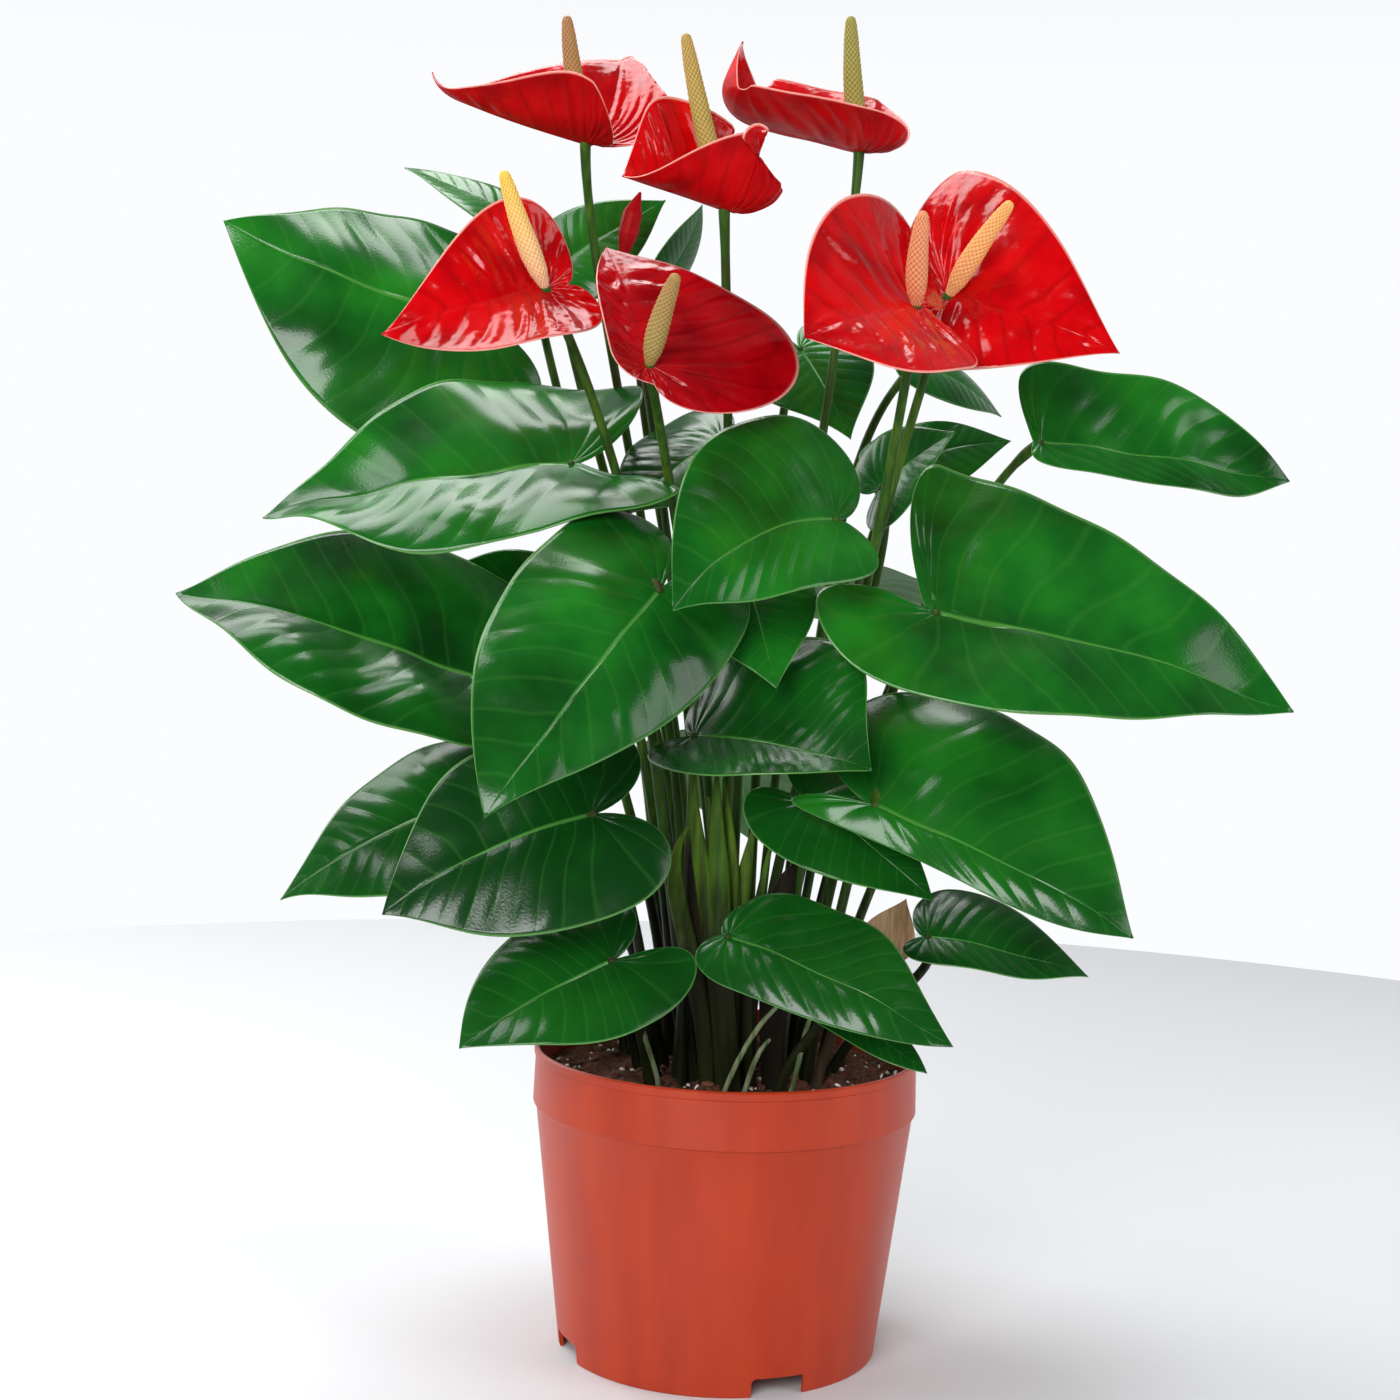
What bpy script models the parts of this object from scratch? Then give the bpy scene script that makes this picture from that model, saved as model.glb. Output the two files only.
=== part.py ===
"""Potted anthurium in a 17 cm nursery pot: 31 leaves, 7 blooms, a bud, 2 shoots, a sheath, soil and pot.

The frame is in metres, +Z up. The origin is on the pot's axis where the pot stands, and -Y is the side
that the photo shows. Lengths below are in millimetres and angles in degrees.
"""

import math

import bmesh
import bpy
import numpy as np

for old in list(bpy.data.objects):
    bpy.data.objects.remove(old)

# one millimetre in the scene's metres
MM = 0.001
# the pot: a moulded nursery pot with a deep collar and a foot with four notches
POT_HEIGHT = 134
RIM_RADIUS = 85
COLLAR_HEIGHT = 25
COLLAR_STEP = 1.3
FOOT_RADIUS = 70.6
POT_WALL = 2
FLOOR_THICK = 2.5
RAISED_FLOOR = 9
CENTRE_FLOOR_RADIUS = 32
NOTCH_WIDTH = 24
NOTCH_HEIGHT = 8.5
# the turn of the first notch from the front, seen from above
NOTCH_TURN = 21.5
SOIL_TOP = 124
# how deep a stalk stands in the soil, and the room round it
ROOT_DEPTH = 8
GAP = 0.4
# the blades and the stalks
LEAF_THICK = 0.8
SPATHE_THICK = 0.8
STALK_RADII = (2.5, 1.9)
STEM_RADIUS = 2.0
STALK_SPANS = 6
# the spadix: radii along its length, and how far its florets stand out
SPADIX_RADII = (2.0, 3.6, 4.2, 4.3, 4.1, 3.8, 3.4, 3.0, 2.2)
FLORET_RELIEF = 0.3
# colours as sRGB
LEAF_GREEN = (0.07, 0.32, 0.08)
STALK_GREEN = (0.20, 0.32, 0.10)
SPATHE_RED = (0.78, 0.03, 0.06)
SPADIX_YELLOW = (0.80, 0.66, 0.32)
SHOOT_GREEN = (0.42, 0.52, 0.20)
DRY_BROWN = (0.45, 0.33, 0.22)
POT_ORANGE = (0.78, 0.30, 0.17)
SOIL_BROWN = (0.09, 0.06, 0.05)

# The outline of a blade in lengths from joint to tip: the notch where the two lobes meet, how wide the
# notch opens, how far the lobes reach back, where the blade is widest, its half width, and its taper.
OUTLINES = {
    "leaf": dict(sinus=-0.03, open=0.07, back=-0.42, crown=0.12, half=0.46, shoulder=0.52, narrow=0.16),
    "spathe": dict(sinus=-0.13, open=0.05, back=-0.52, crown=0.05, half=0.58, shoulder=0.44, narrow=0.13),
}
# The bends of a blade: the droop along it, a hook of its tip, the turn of the lobes behind the joint, how
# far each half folds up from the midrib, the curl of the margins, and a wave of the margins.
BENDS = dict(
    droop=25, hook=0, hook_from=0.65, hook_over=0.35, turn_back=10, fold=8, lean=0, curl=25, tilt=0,
    wave=0, waves=1.5, phase=0, skew=0,
)
# over how much of the half width a fold rounds off
FOLD_ROUND = {"leaf": 0.04, "spathe": 0.14}

home = bpy.data.collections.new("potted_anthurium")
bpy.context.scene.collection.children.link(home)
stalk_cutters = []


def unit(v):
    """The direction of a vector."""
    v = np.asarray(v, float)
    return v / np.linalg.norm(v)


def bezier(points, t):
    """Points on a cubic curve through its first and last control point."""
    a, b, c, d = (np.array(p, float) for p in points)
    t = np.asarray(t, float)[..., None]
    s = 1 - t
    return s**3 * a + 3 * s**2 * t * b + 3 * s * t**2 * c + t**3 * d


def edge_of(shape, width, row, side):
    """The outline of one half: rows -1 to 0 go round its lobe, rows 0 to 1 run on to the tip."""
    k = {key: shape.get(key + side, shape[key]) for key in OUTLINES["leaf"]}
    w = k["half"] * width
    lobe = [(k["sinus"], 0), (k["back"], k["open"]), (k["back"] + 0.02, w), (k["crown"], w)]
    rest = [(k["crown"], w), (k["shoulder"], w), (0.74, k["narrow"]), (1, 0)]
    behind = bezier(lobe, np.clip(row + 1, 0, 1))
    ahead = bezier(rest, np.clip(row, 0, 1))
    return np.where((row < 0)[..., None], behind, ahead)


def flat_blade(shape, width, row, across):
    """The blade laid flat, joint at 0, tip at 1: each row is a side vein from the midrib to the margin."""
    left = across > 0
    edge = np.where(left[..., None], edge_of(shape, width, row, "_l"), edge_of(shape, width, row, "_r"))
    root = np.stack([edge[..., 0] * np.clip(row, 0, 1) ** 0.6, np.zeros_like(row)], -1)
    middle = (edge + root) / 2
    middle[..., 0] -= 0.10 * np.linalg.norm(edge - root, axis=-1) * np.clip(1 + row, 0, 1)
    v = np.abs(across)[..., None]
    flat = (1 - v) ** 2 * root + 2 * v * (1 - v) * middle + v**2 * edge
    flat[..., 1] *= np.where(left, 1.0, -1.0)
    return flat


def bend_blade(kind, bends, flat, row, across):
    """The flat blade folded along its midrib, curled at its margins, and drooped along its length."""
    x, y = flat[..., 0], flat[..., 1]
    left = across > 0
    side = np.where(left, 1.0, -1.0)
    ay = y * side
    steps = np.linspace(-0.6, 1.0, 161)
    ahead = np.clip(steps, 0, 1)
    turn = math.radians(bends["droop"]) * ahead
    bent = np.clip((ahead - bends["hook_from"]) / bends["hook_over"], 0, 1)
    turn += math.radians(bends["hook"]) * bent**1.5
    turn += math.radians(bends["turn_back"]) * np.clip(steps, -1, 0) / 0.35
    size = np.diff(steps, prepend=steps[0])
    along, down = np.cumsum(np.cos(turn) * size), np.cumsum(-np.sin(turn) * size)
    along, down = along - np.interp(0, steps, along), down - np.interp(0, steps, down)
    reach = np.linspace(-0.3, 1.2, 301)
    step = reach[1] - reach[0]
    halves = []
    for sign in (1, -1):
        fold = math.radians(bends["fold"] + sign * bends["lean"])
        curl = math.radians(bends["curl"] + sign * bends["tilt"]) / 0.46
        angle = fold * (1 - np.exp(-np.abs(reach) / FOLD_ROUND[kind])) * np.sign(reach) - curl * reach
        out, up = np.cumsum(np.cos(angle)) * step, np.cumsum(np.sin(angle)) * step
        out, up = out - np.interp(0, reach, out), up - np.interp(0, reach, up)
        halves.append((np.interp(ay, reach, out), np.interp(ay, reach, up)))
    out = np.where(left, halves[0][0], halves[1][0])
    up = np.where(left, halves[0][1], halves[1][1])
    up = up + bends["wave"] * (ay / 0.46) ** 2 * np.sin(
        2 * math.pi * (bends["waves"] * row + np.where(left, 0, 0.35) + bends["phase"])
    )
    here = np.interp(x, steps, turn)
    bent_x = np.interp(x, steps, along) + up * np.sin(here)
    bent_y = side * out + math.tan(math.radians(bends["skew"])) * np.clip(x, 0, 1) ** 2 * 0.5
    bent_z = np.interp(x, steps, down) + up * np.cos(here)
    return np.stack([bent_x, bent_y, bent_z], -1)


def blade_frame(kind, bends, joint, tip, face):
    """The turn and the size that set a bent blade between its joint and its tip, its face to one side."""
    end = bend_blade(kind, bends, np.array([1.0, 0.0]), np.array(1.0), np.array(0.0))
    chord = np.array(tip, float) - np.array(joint, float)
    ex = unit(end)
    ey = unit(np.cross([0, 0, 1.0], ex))
    local = np.stack([ex, ey, np.cross(ex, ey)])
    x = unit(chord)
    z = np.array(face, float)
    z = unit(z - x * (z @ x))
    world = np.stack([x, np.cross(z, x), z], 1)
    return world @ local, np.linalg.norm(chord) / np.linalg.norm(end)


def material(name, colour, roughness):
    """One Principled material from an sRGB colour."""
    new = bpy.data.materials.new(name)
    new.use_nodes = True
    shader = new.node_tree.nodes["Principled BSDF"]
    linear = [c / 12.92 if c <= 0.04045 else ((c + 0.055) / 1.055) ** 2.4 for c in colour]
    shader.inputs["Base Color"].default_value = (*linear, 1)
    shader.inputs["Roughness"].default_value = roughness
    return new


def keep(obj, name, colour, roughness=0.4):
    """Names an object, puts it in the home collection, and gives it its own material."""
    obj.name = name
    obj.data.name = name
    for place in list(obj.users_collection):
        place.objects.unlink(obj)
    home.objects.link(obj)
    obj.data.materials.clear()
    obj.data.materials.append(material(name, colour, roughness))


def apply_modifiers(obj):
    """Puts the modified mesh in the place of the plain one."""
    graph = bpy.context.evaluated_depsgraph_get()
    mesh = bpy.data.meshes.new_from_object(obj.evaluated_get(graph))
    obj.modifiers.clear()
    obj.data = mesh


def join_or_cut(obj, other, operation):
    """One exact Boolean, applied, after which the other object is gone."""
    step = obj.modifiers.new(operation.lower(), "BOOLEAN")
    step.operation = operation
    step.solver = "EXACT"
    step.object = other
    apply_modifiers(obj)
    bpy.data.objects.remove(other)


def rod(name, path, radii):
    """A round rod with closed ends along a path in millimetres, as a mesh."""
    curve = bpy.data.curves.new(name, "CURVE")
    curve.dimensions = "3D"
    curve.bevel_depth = MM
    curve.bevel_resolution = 1
    curve.use_fill_caps = True
    line = curve.splines.new("POLY")
    line.points.add(len(path) - 1)
    for point, place, radius in zip(line.points, path, radii):
        point.co = (*(np.array(place) * MM), 1)
        point.radius = radius
    drawn = bpy.data.objects.new(name + "_curve", curve)
    home.objects.link(drawn)
    bpy.context.view_layer.update()
    mesh = bpy.data.meshes.new_from_object(drawn.evaluated_get(bpy.context.evaluated_depsgraph_get()))
    bpy.data.objects.remove(drawn)
    close_up(mesh)
    obj = bpy.data.objects.new(name, mesh)
    home.objects.link(obj)
    return obj


def close_up(mesh):
    """Joins points in the same place and turns all faces outward."""
    shape = bmesh.new()
    shape.from_mesh(mesh)
    bmesh.ops.remove_doubles(shape, verts=shape.verts, dist=1e-6)
    bmesh.ops.recalc_face_normals(shape, faces=shape.faces)
    shape.to_mesh(mesh)
    shape.free()


def blade(name, kind, joint, tip, face, form, back_rows, front_rows, half_columns, thick):
    """A blade as a solid: a grid moved to its place, split into triangles, then thickened both ways."""
    outline = dict(OUTLINES[kind])
    bends = dict(BENDS)
    width = form.get("width", 1)
    for key, value in form.items():
        if key in BENDS:
            bends[key] = value
        elif key != "width":
            outline[key] = value
    turn, length = blade_frame(kind, bends, joint, tip, face)
    rows = back_rows + front_rows
    bpy.ops.mesh.primitive_grid_add(x_subdivisions=rows, y_subdivisions=2 * half_columns, size=2)
    obj = bpy.context.object
    mesh = obj.data
    flat = np.array([v.co[:2] for v in mesh.vertices])
    count = np.round((flat[:, 0] + 1) / 2 * rows)
    row = np.where(count <= back_rows, count / back_rows - 1, (count - back_rows) / front_rows)
    across = np.round((flat[:, 1]) * half_columns) / half_columns
    bent = bend_blade(kind, bends, flat_blade(outline, width, row, across), row, across)
    placed = (np.array(joint, float) + bent * length @ turn.T) * MM
    for vertex, place in zip(mesh.vertices, placed):
        vertex.co = place
    shape = bmesh.new()
    shape.from_mesh(mesh)
    bmesh.ops.triangulate(shape, faces=shape.faces)
    bmesh.ops.remove_doubles(shape, verts=shape.verts, dist=1e-7)
    shape.to_mesh(mesh)
    shape.free()
    skin = obj.modifiers.new("thickness", "SOLIDIFY")
    skin.thickness = thick * MM
    skin.offset = 0
    apply_modifiers(obj)
    close_up(obj.data)
    return obj, turn


def stalk_path(root, end, arrive, bow, rise, spans):
    """The curve of a stalk from its foot in the soil to where it meets its blade."""
    foot = np.array([root[0], root[1], SOIL_TOP - ROOT_DEPTH], float)
    end = np.array(end, float)
    lean = end - foot
    far = np.linalg.norm(lean)
    bow = np.array([bow[0], bow[1], 0.0])
    first = foot + np.array([lean[0] * 0.12, lean[1] * 0.12, far * rise]) + bow
    second = end + arrive + bow
    return bezier([foot, first, second, end], np.linspace(0, 1, spans + 1))


def soil_hole(path, radii):
    """Notes the room that the soil leaves round a stalk."""
    stalk_cutters.append((path, radii))


def leaf(name, root, joint, tip, face, arrive=None, bow=(0, 0), rise=0.45, colour=LEAF_GREEN, **form):
    """One leaf: a blade fused with the stalk that carries it, which stands in its own hole in the soil."""
    long = np.linalg.norm(np.array(tip) - np.array(joint)) > 72
    fine = (3, 6, 3) if long else (3, 5, 2)
    obj, turn = blade(name, "leaf", joint, tip, face, form, *fine, LEAF_THICK)
    foot = np.array([root[0], root[1], SOIL_TOP - ROOT_DEPTH], float)
    if arrive is None:
        far = np.linalg.norm(np.array(joint) - foot)
        arrive = unit(turn @ np.array([-0.5, 0, -0.8])) * far * 0.16
    path = stalk_path(root, joint, np.array(arrive, float), bow, rise, STALK_SPANS)
    path[-1] += unit(path[-1] - path[-2]) * 0.9
    radii = np.linspace(*STALK_RADII, len(path))
    soil_hole(path, radii)
    join_or_cut(obj, rod(name + "_stalk", path, radii), "UNION")
    keep(obj, name, colour)


def spadix_of(name, base, top, radii, relief):
    """A tapering spike whose florets stand out in a checker round it."""
    bpy.ops.mesh.primitive_cylinder_add(vertices=8, radius=1, depth=1, end_fill_type="TRIFAN")
    obj = bpy.context.object
    rings = len(radii)
    shape = bmesh.new()
    shape.from_mesh(obj.data)
    sides = [e for e in shape.edges if abs(e.verts[0].co.z - e.verts[1].co.z) > 0.5]
    bmesh.ops.subdivide_edges(shape, edges=sides, cuts=rings - 2)
    axis = unit(np.array(top, float) - np.array(base, float))
    ahead = unit(np.cross(axis, [0, 1, 0]))
    aside = np.cross(axis, ahead)
    long = np.linalg.norm(np.array(top, float) - np.array(base, float))
    for vertex in shape.verts:
        ring = round((vertex.co.z + 0.5) * (rings - 1))
        turn = math.atan2(vertex.co.y, vertex.co.x)
        spoke = round(turn / (math.pi / 4))
        out = 0
        if math.hypot(vertex.co.x, vertex.co.y) > 0.5:
            out = radii[ring] + relief * (-1) ** (ring + spoke)
        place = np.array(base, float) + axis * long * ring / (rings - 1)
        place = place + out * (math.cos(turn) * ahead + math.sin(turn) * aside)
        vertex.co = place * MM
    bmesh.ops.recalc_face_normals(shape, faces=shape.faces)
    shape.to_mesh(obj.data)
    shape.free()
    obj.name = name
    return obj


def bloom(name, root, joint, tip, face, spadix_top, arrive=None, bow=(0, 0), rise=0.4, **form):
    """One bloom of three pieces: the red spathe, the spadix that stands on it, and the stem under it."""
    spathe, turn = blade(name + "_spathe", "spathe", joint, tip, face, form, 4, 6, 3, SPATHE_THICK)
    top = np.array(spadix_top, float)
    axis = unit(top - np.array(joint, float))
    way = unit(axis + 0.8 * (turn @ np.array([0, 0, 1.0])))
    end = np.array(joint, float) - way * 0.8
    foot = np.array([root[0], root[1], SOIL_TOP - ROOT_DEPTH], float)
    if arrive is None:
        arrive = -way * np.linalg.norm(end - foot) * 0.15
    path = stalk_path(root, end, np.array(arrive, float), bow, rise, STALK_SPANS)
    radii = np.full(len(path), STEM_RADIUS)
    soil_hole(path, radii)
    stem = rod(name + "_stem", path, radii)
    low = np.array(joint, float) + axis * 0.8
    spike = spadix_of(name + "_spadix", low, top, SPADIX_RADII, FLORET_RELIEF)
    # the spathe leaves room where the stem ends and where the spadix stands close to it
    room = rod(name + "_room", [path[-2], end + unit(end - path[-2]) * 0.35], [STEM_RADIUS + GAP] * 2)
    join_or_cut(spathe, room, "DIFFERENCE")
    room = spadix_of(name + "_room", low - axis * GAP, top, np.array(SPADIX_RADII) + GAP, FLORET_RELIEF)
    join_or_cut(spathe, room, "DIFFERENCE")
    keep(spathe, name + "_spathe", SPATHE_RED, 0.25)
    keep(spike, name + "_spadix", SPADIX_YELLOW, 0.5)
    keep(stem, name + "_stem", STALK_GREEN)


def tapered(name, points, radii, colour, in_soil=True):
    """A rolled shoot, a bud or its stem: a rod that swells and tapers along a curve."""
    path = bezier(points, np.linspace(0, 1, 9))
    wide = np.interp(np.linspace(0, 3, 9), range(4), radii)
    if in_soil:
        soil_hole(path, wide)
    keep(rod(name, path, wide), name, colour)


# upper leaves
leaf(
    "leaf_01", root=(-14, 17), joint=(-123, 46, 453), tip=(-238, 36, 493), face=(-0.25, -0.85, 0.45),
    bow=(12, 22), width=1.15, droop=15, fold=-10, lean=12, curl=15, skew=-20, narrow_l=0.36, narrow_r=0.2,
    shoulder=0.6, half_l=0.5,
)
leaf(
    "leaf_02", root=(-17, 1), joint=(-76, -15, 389), tip=(-204, -40, 363), face=(-0.1, -0.62, 0.78),
    droop=12, fold=24, lean=6, curl=35, tilt=15, turn_back=-14, wave=0.1, waves=0.6, phase=0.51,
    narrow_r=0.13, crown_r=0.0, shoulder_r=0.4, half_r=0.52, crown_l=0.25, shoulder_l=0.7, narrow_l=0.22,
    half_l=0.40, back_l=-0.42, open_l=0.45, open_r=0.16,
)
leaf(
    "leaf_03", root=(-27, 4), joint=(-115, 5, 294), tip=(-245, -15, 329), face=(-0.1, -0.62, 0.75),
    width=0.95, droop=15, fold=24, lean=6, curl=35, tilt=10, crown=0.25, shoulder=0.62, narrow=0.22,
    half_l=0.42, narrow_l=0.28, half_r=0.52, back_l=-0.3,
)
leaf(
    "leaf_04", root=(-14, -20), joint=(-35, -80, 338), tip=(-97, -150, 252), face=(0, -0.9, 0.35),
    arrive=(-10, 30, 26), bow=(-10, 6), width=0.92, droop=25, fold=-5, lean=-6, curl=15, turn_back=15,
    narrow=0.2, half_l=0.34, narrow_l=0.11, half_r=0.44, narrow_r=0.26,
)
leaf(
    "leaf_05", root=(-24, 26), joint=(-85, 56, 322), tip=(-158, 46, 327), face=(-0.1, -0.9, 0.35),
    width=0.85, droop=20,
)
leaf(
    "leaf_06", root=(-3, 15), joint=(-12, 30, 403), tip=(-58, -4, 365), face=(-0.3, -0.7, 0.6), width=1.1,
    droop=20,
)
leaf(
    "leaf_07", root=(8, 30), joint=(23, 50, 446), tip=(46, 20, 405), face=(0.1, -0.8, 0.5), width=1.2,
    droop=20,
)
leaf(
    "leaf_08", root=(7, -22), joint=(36, -65, 369), tip=(-29, -115, 331), face=(0, -0.8, 0.6),
    arrive=(16, 34, -30), bow=(2, 12), width=1.05, droop=35, fold=8, lean=-22, curl=10, skew=35,
    half_r=0.56, crown_r=0.2, shoulder_r=0.7, narrow_r=0.42, half_l=0.34, crown_l=0.15, shoulder_l=0.6,
    narrow_l=0.2, back_l=-0.25, open_l=0.15, back_r=-0.3,
)
leaf(
    "leaf_09", root=(19, 9), joint=(60, 14, 384), tip=(90, -4, 409), face=(-0.3, -0.75, 0.6), width=1.2,
    droop=20, fold=20,
)
leaf("leaf_10", root=(20, 19), joint=(70, 40, 395), tip=(121, 50, 408), face=(0.1, -0.7, 0.7), width=0.9)
leaf(
    "leaf_11", root=(28, 10), joint=(129, 10, 406), tip=(244, 30, 393), face=(0.2, -0.8, 0.55), width=0.9,
    droop=10, fold=15, back_l=-0.12, open_l=0.3, half_l=0.4, half_r=0.16, crown_r=0.3, shoulder_r=0.7,
    back_r=-0.06, open_r=0.1, narrow_l=0.3, shoulder_l=0.7,
)
leaf(
    "leaf_12", root=(31, -4), joint=(80, -55, 332), tip=(226, -72, 297), face=(0.1, -0.75, 0.65),
    bow=(2, 9), width=0.92, droop=20, fold=12, curl=15, lean=5, turn_back=-25, back_l=-0.2, open_l=0.3,
    crown_l=-0.1, shoulder_l=0.12, half_l=0.53, narrow_l=0.3, open_r=-0.14, back_r=-0.46, half_r=0.33,
    narrow_r=0.12,
)
leaf(
    "leaf_13", root=(-22, 40), joint=(-105, 100, 499), tip=(-167, 110, 530), face=(-0.2, -0.3, 0.9),
    width=0.7,
)
leaf(
    "leaf_14", root=(-12, 42), joint=(-88, 58, 480), tip=(-41, 74, 513), face=(0.1, -0.7, 0.6), width=0.9,
    bow=(6, 12),
)
# middle and lower leaves
leaf(
    "leaf_15", root=(0, -16), joint=(2, -45, 340), tip=(14, -75, 299), face=(0, -0.9, 0.4), bow=(0, 13),
    width=1.1,
)
leaf(
    "leaf_16", root=(-20, -28), joint=(-19, -43, 276), tip=(53, -90, 269), face=(0.05, -0.75, 0.65),
    width=1.1, fold=20, curl=10, crown_l=0.35, shoulder_l=0.85, narrow_l=0.4, half_l=0.57, back_l=-0.2,
    half_r=0.3, back_r=-0.25, crown_r=0.3,
)
leaf(
    "leaf_17", root=(-31, -22), joint=(-60, -74, 245), tip=(-142, -94, 204), face=(-0.1, -0.9, 0.45),
    width=1.05, droop=15, skew=20, narrow_r=0.36, narrow_l=0.2, shoulder=0.6, half_r=0.5, half_l=0.46,
)
leaf(
    "leaf_18", root=(-37, -2), joint=(-116, -10, 241), tip=(-196, -20, 196), face=(-0.2, -0.75, 0.65),
    width=0.95, skew=10, narrow=0.13,
)
leaf(
    "leaf_19", root=(-32, -40), joint=(-50, -70, 184), tip=(-109, -100, 152), face=(-0.1, -0.75, 0.65),
    turn_back=-25, narrow_r=0.32, half_r=0.48, back_l=-0.55,
)
leaf(
    "leaf_20", root=(4, -44), joint=(-2, -78, 197), tip=(88, -115, 163), face=(0.1, -0.75, 0.65), width=0.9,
    fold=-5, lean=10, half_r=0.22, back_r=-0.14, half_l=0.36, back_l=-0.1, crown_l=0.3, shoulder_l=0.65,
)
leaf(
    "leaf_21", root=(34, -14), joint=(56, -75, 253), tip=(158, -110, 208), face=(0.2, -0.8, 0.55),
    arrive=(4, 44, 42), bow=(6, 8), droop=20, fold=-5, lean=20, half_l=0.6, narrow_l=0.24, crown_l=0.2,
    shoulder_l=0.6, half_r=0.12,
)
leaf(
    "leaf_22", root=(22, -32), joint=(30, -44, 250), tip=(82, -72, 214), face=(0.1, -0.8, 0.6),
    arrive=(-2, 16, 10), bow=(2, -4), width=0.9, turn_back=-30, half_l=0.33,
)
leaf(
    "leaf_23", root=(42, -10), joint=(83, -44, 194), arrive=(4, 14, -22), bow=(8, 4), tip=(151, -46, 179),
    face=(0.1, -0.6, 0.8), width=0.95, half_l=0.5, half_r=0.24, back_r=-0.2, back_l=-0.16,
)
leaf("leaf_24", root=(20, -46), joint=(43, -66, 166), tip=(80, -95, 147), face=(0.1, -0.8, 0.5), width=0.4)
# leaves behind, seen only in gaps
leaf(
    "leaf_25", root=(-3, 40), joint=(-38, 62, 480), tip=(-24, 70, 512), face=(0.9, -0.3, 0.3), width=0.8,
    bow=(8, 2),
)
leaf("leaf_26", root=(25, 37), joint=(80, 66, 442), tip=(120, 84, 420), face=(0.3, -0.5, 0.8), width=1.0)
leaf("leaf_27", root=(22, 44), joint=(50, 92, 340), tip=(102, 160, 298), face=(0.3, 0.65, 0.7), width=1.0)
leaf(
    "leaf_28", root=(-28, 50), joint=(-60, 112, 314), tip=(-106, 170, 266), face=(-0.3, 0.65, 0.7),
    width=0.9,
)
leaf("leaf_29", root=(0, 54), joint=(-2, 92, 262), tip=(12, 160, 205), face=(0, 0.7, 0.7), width=1.05)
leaf(
    "leaf_30", root=(-44, 24), joint=(-92, 62, 222), tip=(-150, 112, 172), face=(-0.45, 0.55, 0.7),
    width=1.0,
)
leaf("leaf_31", root=(44, 24), joint=(84, 62, 236), tip=(150, 112, 190), face=(0.45, 0.55, 0.7), width=1.0)
# blooms
bloom(
    "bloom_1", root=(-9, 8), joint=(-76, 20, 531), tip=(-144, 20, 559), face=(-0.1, -0.1, 1),
    spadix_top=(-86, 20, 585), bow=(0, 31), fold=62, lean=0, curl=15, hook=-60, hook_from=0.75,
    hook_over=0.25, droop=-5, turn_back=-30, width=0.95, back_l=-0.22, crown_l=0.1, half_l=0.58,
    narrow_l=0.14, shoulder_l=0.3, half_r=0.98, crown_r=-0.3, back_r=-0.9, shoulder_r=0.35,
)
bloom(
    "bloom_2", root=(-3, -2), joint=(-14, -26, 498), tip=(-57, -41, 508), face=(-0.2, -0.2, 1),
    spadix_top=(-33, -26, 570), bow=(3, 13), fold=55, lean=-5, curl=-10, droop=5, turn_back=-40, width=1.25,
    half_r=0.8, crown_r=0.45, shoulder_r=1.0, narrow_r=0.8, half_l=0.8, crown_l=-0.3, back_l=-1.2,
)
bloom(
    "bloom_3", root=(10, 11), joint=(44, 10, 530), tip=(-9, 10, 575), face=(0.7, -0.25, 1),
    spadix_top=(38, 10, 587), fold=50, curl=15, hook=-95, hook_from=0.5, hook_over=0.3, droop=-5,
    turn_back=-60, width=0.9, narrow=0.45, shoulder=0.7, half_l=0.48, crown_l=0, shoulder_l=0.4,
    back_r=-0.36, back_l=-0.36,
)
bloom(
    "bloom_4", root=(-23, -15), joint=(-86, -60, 459), tip=(-150, -80, 437), face=(-0.2, -0.9, 0.35),
    spadix_top=(-103, -80, 503), bow=(22, 27), fold=12, lean=6, curl=-15, width=1.0, half_l=0.47,
    crown_l=0.12, shoulder_l=0.62, narrow_l=0.3, back_l=-0.36, open_l=-0.06, half_r=0.58, crown_r=0.05,
    shoulder_r=0.34, narrow_r=0.08, back_r=-0.3,
)
bloom(
    "bloom_5", root=(-4, -10), joint=(-42, -85, 428), tip=(-63, -40, 479), face=(0.2, -0.9, 0.35),
    spadix_top=(-32, -115, 461), arrive=(2, 60, -40), bow=(6, 20), fold=28, lean=28, width=1.1, half_l=0.24,
    narrow_l=0.14, back_l=-0.1, curl=8, half_r=0.84, crown_r=0.05, back_r=-0.45, shoulder_r=0.45,
    narrow_r=0.32,
)
bloom(
    "bloom_6", root=(21, -16), joint=(64, -80, 455), tip=(18, -125, 438), face=(0, -0.75, 0.65),
    spadix_top=(64, -95, 491), bow=(10, 12), fold=8, lean=-12, curl=-8, width=1.3, crown_r=-0.15,
    half_r=0.64, back_r=-0.8, open_r=-0.04, half_l=0.52, back_l=-0.05, crown_l=0.3, shoulder_l=0.75,
    narrow_l=0.45, narrow_r=0.3,
)
bloom(
    "bloom_7", root=(18, -5), joint=(81, -37, 464), tip=(150, -60, 441), face=(0.1, -0.95, 0.35),
    spadix_top=(103, -57, 501), fold=8, curl=10, width=1.1, half_l=0.78, crown_l=-0.28, shoulder_l=0.25,
    narrow_l=0.16, half_r=0.42, back_r=-0.3,
)

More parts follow.
